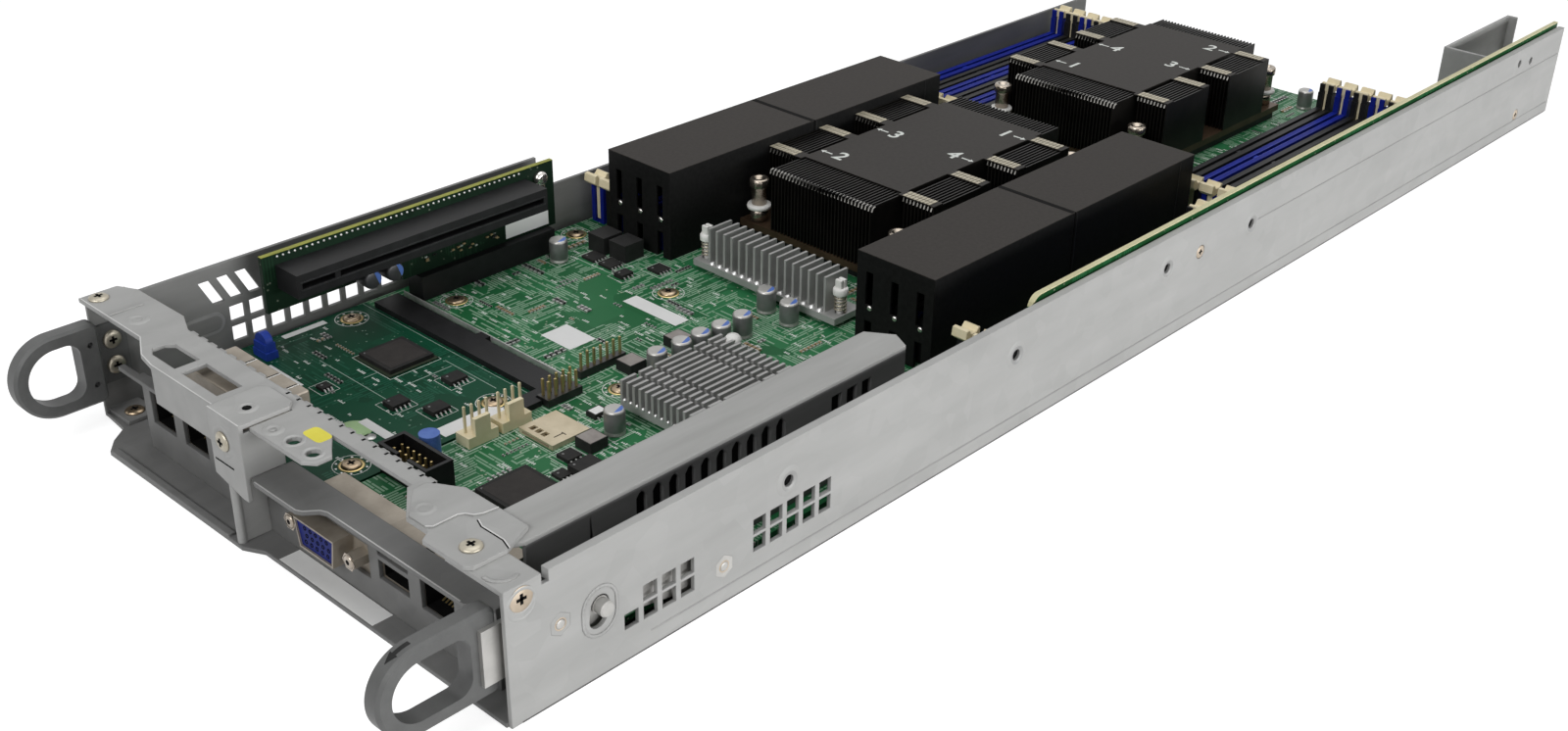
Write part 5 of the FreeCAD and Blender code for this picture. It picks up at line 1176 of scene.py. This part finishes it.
def corner_plates(piece, top):
    # At the right wall: an upper plate over the screw's tab, and a bead pressed in the corner.
    piece.plate(UPPER_PLATE, top, UPPER_RISE, "steel")
    # Painted highlights along the folded edges of the plate and the flange; the dark strips under the flange
    # edge are painted shade.
    fold_line(piece, UPPER_PLATE[2:9], top + UPPER_RISE, 0.3)
    for (x0, y0), (x1, y1) in zip(FLANGE_EDGE, FLANGE_EDGE[1:]):
        piece.plate([(x0, y0 - 0.35), (x1, y1 - 0.35), (x1, y1), (x0, y0)], top, 0.03, "recess")
    fold_line(piece, [(x, y + 0.2) for x, y in FLANGE_EDGE], top, 0.3)
    raised_ring(piece, (58.6, 7.0, top + UPPER_RISE), 1.2, 2.9, 0.3, "steel", "Z")
    piece.turned((58.6, 7.0, top + UPPER_RISE), [(1.2, 0), (0.8, 0.1), (0, 0.12)], "steel", sides=20)
    x, y = CORNER_BEAD
    for k in range(12):
        quad = []
        for r, turn in ((-0.5, k), (0.5, k), (0.5, k + 1), (-0.5, k + 1)):
            angle = math.radians(-100.0 + 10.5 * turn)
            quad.append((x + (CORNER_BEAD_R + r) * math.cos(angle),
                         y + (CORNER_BEAD_R + r) * math.sin(angle)))
        piece.plate(quad, TAB_TOP, 0.3, "steel")


@detail(slot="galvanised_steel")
def bridge_details(piece):
    top = mm_box("front_bridge")[1].z
    for x, y, r in ((-71.5, 9.6, 2.3), (4.1, 2.8, 2.0)):
        raised_ring(piece, (x, y, top), r - 1.1, r + 0.9, 0.35, "steel", "Z")
        piece.turned((x, y, top), [(r - 1.1, 0), (0.9, 0.12), (0, 0.14)], "steel", sides=20)
    for x in (11.9, 20.0):
        raised_ring(piece, (x, 3.5, top), 2.0, 3.0, 0.25, "steel", "Z")
    # A step line across the left plate, where the screw tab rises.
    piece.block((-79.4, 5.2, top), (-78.6, 15.6, top + 0.25), "steel", 0.1)
    corner_plates(piece, top)
    # Spring fingers of the gasket along the back edge; dark notches of painted shade lie between those on the
    # right.
    for start, count, reach, gap in TEETH:
        for k in range(count):
            x = start + k * TEETH_PITCH
            end = x + TEETH_PITCH
            outline = [(x, 16.0), (x + 0.5, reach), (end - gap - 0.5, reach), (end - gap, 16.0)]
            piece.plate(outline, top - 0.9, 0.3, "steel")
            if start == NOTCHED_FROM:
                piece.block((end - 0.9, 14.9, top), (end - 0.2, 16.0, top + 0.05), "recess")
    clip_low, clip_high = mm_box("centre_clip")
    raised_ring(piece, (-7.8, 3.2, clip_high.z), 1.2, 2.9, 0.3, "steel", "Z")
    # The clip's hole and a line across its front, dark with painted shade.
    piece.disc((-7.8, 3.2, clip_high.z), 1.2, 0.02, "recess", sides=16)
    raised_ring(piece, (-9.6, clip_low.y, 31.6), 3.2, 4.6, 0.3, "steel", "Y", -1)
    piece.block((clip_low.x + 1.0, clip_low.y - 0.04, 24.6), (clip_high.x - 5.0, clip_low.y + 0.02, 25.1),
                "recess")
    # Painted highlights along the folded edges of the bridge, the panel and the clip.
    fold_line(piece, BRIDGE_FOLD, top, 0.3)
    fold_line(piece, PANEL_FOLD, mm_box("io_panel")[1].z, 0.35)
    fold_line(piece, [(clip_low.x + 0.2, clip_low.y + 0.2), (clip_high.x - 0.2, clip_low.y + 0.2)],
              clip_high.z, 0.3)
    # Yellow mark on the bar behind the clip: a rectangle with rounded ends.
    spot = []
    for k in range(24):
        a, b = math.cos(k * math.pi / 12), math.sin(k * math.pi / 12)
        spot.append((13.6 + 3.7 * math.copysign(abs(a) ** 0.45, a),
                     9.0 + 2.3 * math.copysign(abs(b) ** 0.45, b)))
    piece.plate(spot, top, 0.06, "sticker_yellow")


# Painted shade: a dark strip behind the slots of the air guide's rail
@detail()
def rail_backing(piece):
    low, high = mm_box("air_guide_rail")
    inner = high.x - 1.2
    piece.block((inner - 0.3, low.y + 6.0, BOARD_TOP + 1.5), (inner - 0.05, high.y - 6.0, high.z - 1.4),
                "recess", 0.05)


# Bare labels and stickers on the boards and on the floor's front lip
LABELS = (((-36.5, 118.2), (-22.9, 128.5)), ((-36.2, 151.6), (-12.0, 157.4)), ((-77.5, 44.8), (-60.5, 49.9)),
          ((-31.8, 48.4), (-15.5, 51.4)), ((-13.4, 60.6), (-8.0, 81.6)), ((-91.0, 62.0), (-88.6, 77.0)),
          ((-63.4, 33.8), (-51.6, 37.8)))
# Round stickers: place, radius, finish and number of sides
STICKERS = ((-29.0, 45.1, 5.2, "sticker_green", 32), (-22.8, 46.1, 1.8, "tin", 20))


@detail()
def labels(piece):
    for (x0, y0), (x1, y1) in LABELS:
        piece.block((x0, y0, BOARD_TOP), (x1, y1, BOARD_TOP + 0.1), "label_white", 0.04)
    for x, y, r, finish, sides in STICKERS:
        piece.turned((x, y, BOARD_TOP), [(0, 0), (r, 0), (r, 0.08), (0, 0.08)], finish, sides=sides)
    piece.block((10.6, 96.2, BOARD_TOP + 1.6), (13.8, 100.2, BOARD_TOP + 1.66), "label_white", 0.02)


@detail()
def lip_label(piece):
    piece.block((3.6, -0.2, 1.2), (43.0, 5.8, 1.3), "label_white", 0.04)


# Finger ring: a plain arrow on the round rim of the lever's loop
RING_RIM_R = 11.5
RIM_MARK_HALF = 0.6


def rim_patch(piece, tip, mid, x, half0, half1, start, end, finish):
    # A patch of print on the loop's half-round rim, `half` wide at its two ends.
    for k in range(4):
        share0, share1 = k / 4.0, (k + 1) / 4.0
        corners = []
        for r in (RING_RIM_R - 0.02, RING_RIM_R + 0.04):
            for share, way in ((share0, -1), (share0, 1), (share1, 1), (share1, -1)):
                angle = math.radians(start + (end - start) * share)
                half = half0 + (half1 - half0) * share
                corners.append((x + way * half, tip + RING_RIM_R + r * math.cos(angle),
                                mid + r * math.sin(angle)))
        verts = [piece.bm.verts.new(Vector(c) * MM) for c in corners]
        faces = [piece.bm.faces.new([verts[i] for i in quad]) for quad in
                 ((0, 1, 2, 3), (4, 5, 6, 7), (0, 1, 5, 4), (1, 2, 6, 5), (2, 3, 7, 6), (3, 0, 4, 7))]
        bmesh.ops.recalc_face_normals(piece.bm, faces=faces)
        piece.paint(faces, finish)


@detail(body="release_lever")
def ring_marks(piece):
    low, high = mm_box("lever_handle")
    x, mid = (low.x + high.x) / 2, (low.z + high.z) / 2
    rim_patch(piece, low.y, mid, x, RIM_MARK_HALF, RIM_MARK_HALF, 92.0, 112.0, "mark_black")
    rim_patch(piece, low.y, mid, x, 2.1 * RIM_MARK_HALF, 0.05, 112.0, 126.0, "mark_black")


# Latches: stem, head and two horns, one piece for each moving row
BANKS, SIDES, ENDS = ("front", "rear"), ("left", "right"), ("near", "far")
LATCH_ROWS = ["_".join(row) for row in itertools.product(BANKS, SIDES, ENDS)]
LATCH_HEAD, LATCH_FOOT, LATCH_WIDTH = 4.2, 5.2, 5.5


def latch(piece, low, high, way):
    mid = (low.x + high.x) / 2
    tip, back = (low.y, high.y) if way < 0 else (high.y, low.y)
    head = high.z - LATCH_HEAD
    foot = tip - way * LATCH_FOOT
    piece.block((mid - 1.15, foot - 1.05, low.z + 0.3), (mid + 1.15, foot + 1.05, head + 0.4),
                "ivory_plastic", 0.2)
    profile = [(tip, head + 1.4), (tip - way * 0.4, high.z - 0.2), (tip - way * 1.6, high.z),
               (tip - way * 2.6, high.z - 1.5), (back + way * 2.0, high.z - 1.7),
               (back + way * 0.8, high.z - 0.4), (back, high.z - 0.7), (back, head + 0.4),
               (tip - way * 1.6, head)]
    faces = piece.plate(profile, mid - LATCH_WIDTH / 2, LATCH_WIDTH, "ivory_plastic", "X")
    edges = {e for f in faces for e in f.edges if abs(e.verts[0].co.x - e.verts[1].co.x) < 1e-6}
    piece.paint(piece.round_over(edges, 0.25), "ivory_plastic")


def latch_row(node, way):
    def fill(piece):
        for low, high in solids(node):
            latch(piece, low, high, way)
    return fill


for row in LATCH_ROWS:
    node = row + "_latches"
    how = {"body": row + "_row", "slot": "ivory_plastic", "instead_of": [node]}
    DETAILS.append((latch_row(node, -1 if row.endswith("near") else 1), row + "_ivory_latches", how))


# Memory slots: a lighter line on each rail's edge as a painted highlight, and the key across the groove in
# the same lighter tone
RAIL_HEIGHT = 8.0
KEY_FROM, KEY_TO = 58.0, 60.5


@detail()
def slot_edges(piece):
    for tone in ("blue", "black"):
        # Each rail's edge gets a lighter line of the slot's colour: painted highlight.
        line = tone + "_edge"
        for low, high in solids(tone + "_memory_slots"):
            mid = (low.x + high.x) / 2
            rail = BOARD_TOP + RAIL_HEIGHT
            for way in (-1, 1):
                x = mid + way * 0.95
                piece.block((x - 0.12, low.y + 5.0, rail - 0.5), (x + 0.12, high.y - 5.0, rail + 0.05), line)
            piece.block((mid - 0.8, low.y + KEY_FROM, rail - 4.8),
                        (mid + 0.8, low.y + KEY_TO, rail - 0.6), line)


# Cheeks of the slots' end towers, in front of the far latches
@detail()
def tower_cheeks(piece):
    slots = [(low.x, high.x, tone + "_plastic") for tone in ("blue", "black")
             for low, high in solids(tone + "_memory_slots")]
    for row in [row for row in LATCH_ROWS if row.endswith("far")]:
        for low, high in solids(row + "_latches"):
            mid = (low.x + high.x) / 2
            finish = [f for x0, x1, f in slots if x0 < mid < x1][0]
            for a, b in ((-2.9, -0.85), (0.85, 2.9)):
                piece.block((mid + a, low.y - 1.0, high.z - 6.0), (mid + b, low.y - 0.15, high.z - 0.9),
                            finish, 0.15)


# Small parts on the boards
class Floorplan:
    # Keeps small parts clear of everything that stands on the boards.
    def __init__(self, nodes):
        self.taken = []
        for node in nodes:
            for low, high in solids(node):
                self.taken.append((low.x, low.y, high.x, high.y))

    def free(self, x0, y0, x1, y1, margin=0.4):
        for a0, b0, a1, b1 in self.taken:
            if x0 - margin < a1 and x1 + margin > a0 and y0 - margin < b1 and y1 + margin > b0:
                return False
        return True

    def take(self, x0, y0, x1, y1):
        self.taken.append((x0, y0, x1, y1))


ON_BOARD = """screws capacitors chokes chips chipset_heat_sink tall_heat_sink processor_sockets
blue_memory_slots black_memory_slots riser_socket card_connector network_jacks lan_jack usb_stack
vga_connector fan_headers pin_headers box_header card_socket coin_cell jumper_block side_connector
left_front_shroud left_back_shroud right_front_shroud right_back_shroud air_guide_rail""".split()
PLAN = Floorplan(ON_BOARD)
for (x0, y0), (x1, y1) in LABELS:
    PLAN.take(x0, y0, x1, y1)


def chip_part(piece, x, y, along, size, body):
    # A two-ended part: a body between two tinned ends.
    length, width, tall = size
    cap = length * 0.22
    half = length / 2
    for a, b, finish in ((-half, -half + cap, "tin"), (-half + cap, half - cap, body),
                         (half - cap, half, "tin")):
        if along == "X":
            piece.block((x + a, y - width / 2, BOARD_TOP), (x + b, y + width / 2, BOARD_TOP + tall), finish)
        else:
            piece.block((x - width / 2, y + a, BOARD_TOP), (x + width / 2, y + b, BOARD_TOP + tall), finish)


# Length, width and height of the small parts
PART_SIZES = ((1.6, 0.85, 0.5), (1.0, 0.55, 0.4), (2.1, 1.25, 0.7))
# Zones: left, front, right, back, number of groups
PART_ZONES = ((-90, 92, -10, 182, 40), (-4, 92, 68, 182, 44), (-3, 24, 66, 96, 44), (-90, 28, -8, 88, 16),
              (-46, 318, 34, 352, 26), (-46, 456, 40, 484, 10), (-46, 198, 34, 215, 14),
              (28, 215, 36, 330, 12), (27, 350, 40, 460, 14), (64, 182, 72, 330, 6))


@detail()
def chip_parts(piece):
    spread = random.Random(21)
    for x0, y0, x1, y1, groups in PART_ZONES:
        for _ in range(groups):
            gx, gy = spread.uniform(x0, x1), spread.uniform(y0, y1)
            along = spread.choice("XY")
            size = spread.choice(PART_SIZES)
            body = spread.choice(("smd_tan", "smd_tan", "smd_black", "smd_black", "smd_grey"))
            pitch = size[1] + spread.choice((0.5, 0.8))
            for k in range(spread.randint(2, 7)):
                x = gx if along == "X" else gx + k * pitch
                y = gy + k * pitch if along == "X" else gy
                w, d = (size[0], size[1]) if along == "X" else (size[1], size[0])
                spot = (x - w / 2, y - d / 2, x + w / 2, y + d / 2)
                if PLAN.free(*spot):
                    PLAN.take(*spot)
                    chip_part(piece, x, y, along, size, body)


LARGE_CHIP = 12
LEG_PITCH = 1.27
# A bent leg: how far out and how high
LEG = ((0, 0.7), (0.5, 0.65), (0.75, 0.16), (1.3, 0.14), (1.3, 0), (0.6, 0), (0.4, 0.45), (0, 0.5))


@detail()
def chip_leads(piece):
    # Legs of the small packages, the carrier under the large ones and a dot at the first pin.
    for low, high in solids("chips"):
        size = high - low
        z = BOARD_TOP
        if size.x > LARGE_CHIP:
            piece.block((low.x - 1.0, low.y - 1.0, z), (high.x + 1.0, high.y + 1.0, z + 0.45),
                        "chip_carrier", 0.1)
            piece.block((low.x + 1.2, low.y + 1.2, high.z), (high.x - 1.2, high.y - 1.2, high.z + 0.06),
                        "chip_face", 0.05)
        else:
            count = max(3, int(size.y / LEG_PITCH))
            for way, edge in ((-1, low.x), (1, high.x)):
                for k in range(count):
                    y = low.y + (k + 0.5) * size.y / count
                    outline = [(z + rise, edge + way * reach) for reach, rise in LEG]
                    piece.plate(outline, y - 0.22, 0.44, "tin", "Y")
        piece.disc((low.x + 1.3, low.y + 1.3, high.z), 0.4, 0.03, "smd_grey", sides=12)
        frame_print(piece, low.x - 1.8, low.y - 1.4, high.x + 1.8, high.y + 1.4)


def frame_print(piece, x0, y0, x1, y1):
    # A printed outline on the board: four thin strips.
    t, z = 0.16, BOARD_TOP
    for a0, b0, a1, b1 in ((x0, y0, x1, y0 + t), (x0, y1 - t, x1, y1), (x0, y0, x0 + t, y1),
                           (x1 - t, y0, x1, y1)):
        piece.block((a0, b0, z), (a1, b1, z + PRINT_RISE), "print_white")


# Print: its thickness, the pitch and width of short marks, and the lines on the network card
PRINT_RISE = 0.02
MARK_PITCH, MARK_WIDTH = 0.75, 0.45
CARD_RULES = ((-52.0, 64.5, -51.7, 70.0), (-70.0, 61.5, -34.0, 61.75), (-44.0, 87.6, -20.0, 87.85),
              (-40.0, 70.0, -39.7, 87.0))


@detail()
def board_print(piece):
    # Printed outlines, rules and short marks in the free places of the boards.
    for node in ("capacitors", "fan_headers", "pin_headers", "chokes", "card_socket", "coin_cell"):
        for low, high in solids(node):
            if low.z < BOARD_TOP + 0.5:
                frame_print(piece, low.x - 0.8, low.y - 0.8, high.x + 0.8, high.y + 0.8)
    spread = random.Random(33)
    for x0, y0, x1, y1, groups in PART_ZONES:
        for _ in range(groups * 5):
            x, y = spread.uniform(x0, x1), spread.uniform(y0, y1)
            count = spread.randint(2, 5)
            spot = (x, y, x + count * MARK_PITCH, y + 0.9)
            if not PLAN.free(*spot, 0.2):
                continue
            PLAN.take(*spot)
            for k in range(count):
                high = spread.choice((0.9, 0.9, 0.6))
                left = x + k * MARK_PITCH
                piece.block((left, y, BOARD_TOP), (left + MARK_WIDTH, y + high, BOARD_TOP + PRINT_RISE),
                            "print_white")
    for a0, b0, a1, b1 in CARD_RULES:
        piece.block((a0, b0, BOARD_TOP), (a1, b1, BOARD_TOP + PRINT_RISE), "print_pale")


# White push-in pins at two corners of the chipset's sink
@detail()
def chipset_pins(piece):
    low, high = mm_box("chipset_heat_sink")
    profile = [(0, 0), (1.6, 0), (1.6, 8.0), (2.6, 8.4), (2.6, 9.6), (1.8, 10.6), (0, 11.0)]
    for x, y in ((low.x + 4.0, high.y + 1.2), (high.x - 4.0, low.y - 1.2)):
        piece.turned((x, y, BOARD_TOP), profile, "white_plastic", sides=20)


place_camera()
studio()
dress_nodes()
for fill, name, how in DETAILS:
    piece = Piece()
    fill(piece)
    piece.done(name, **how)

bpy.context.scene.view_settings.view_transform = "Standard"
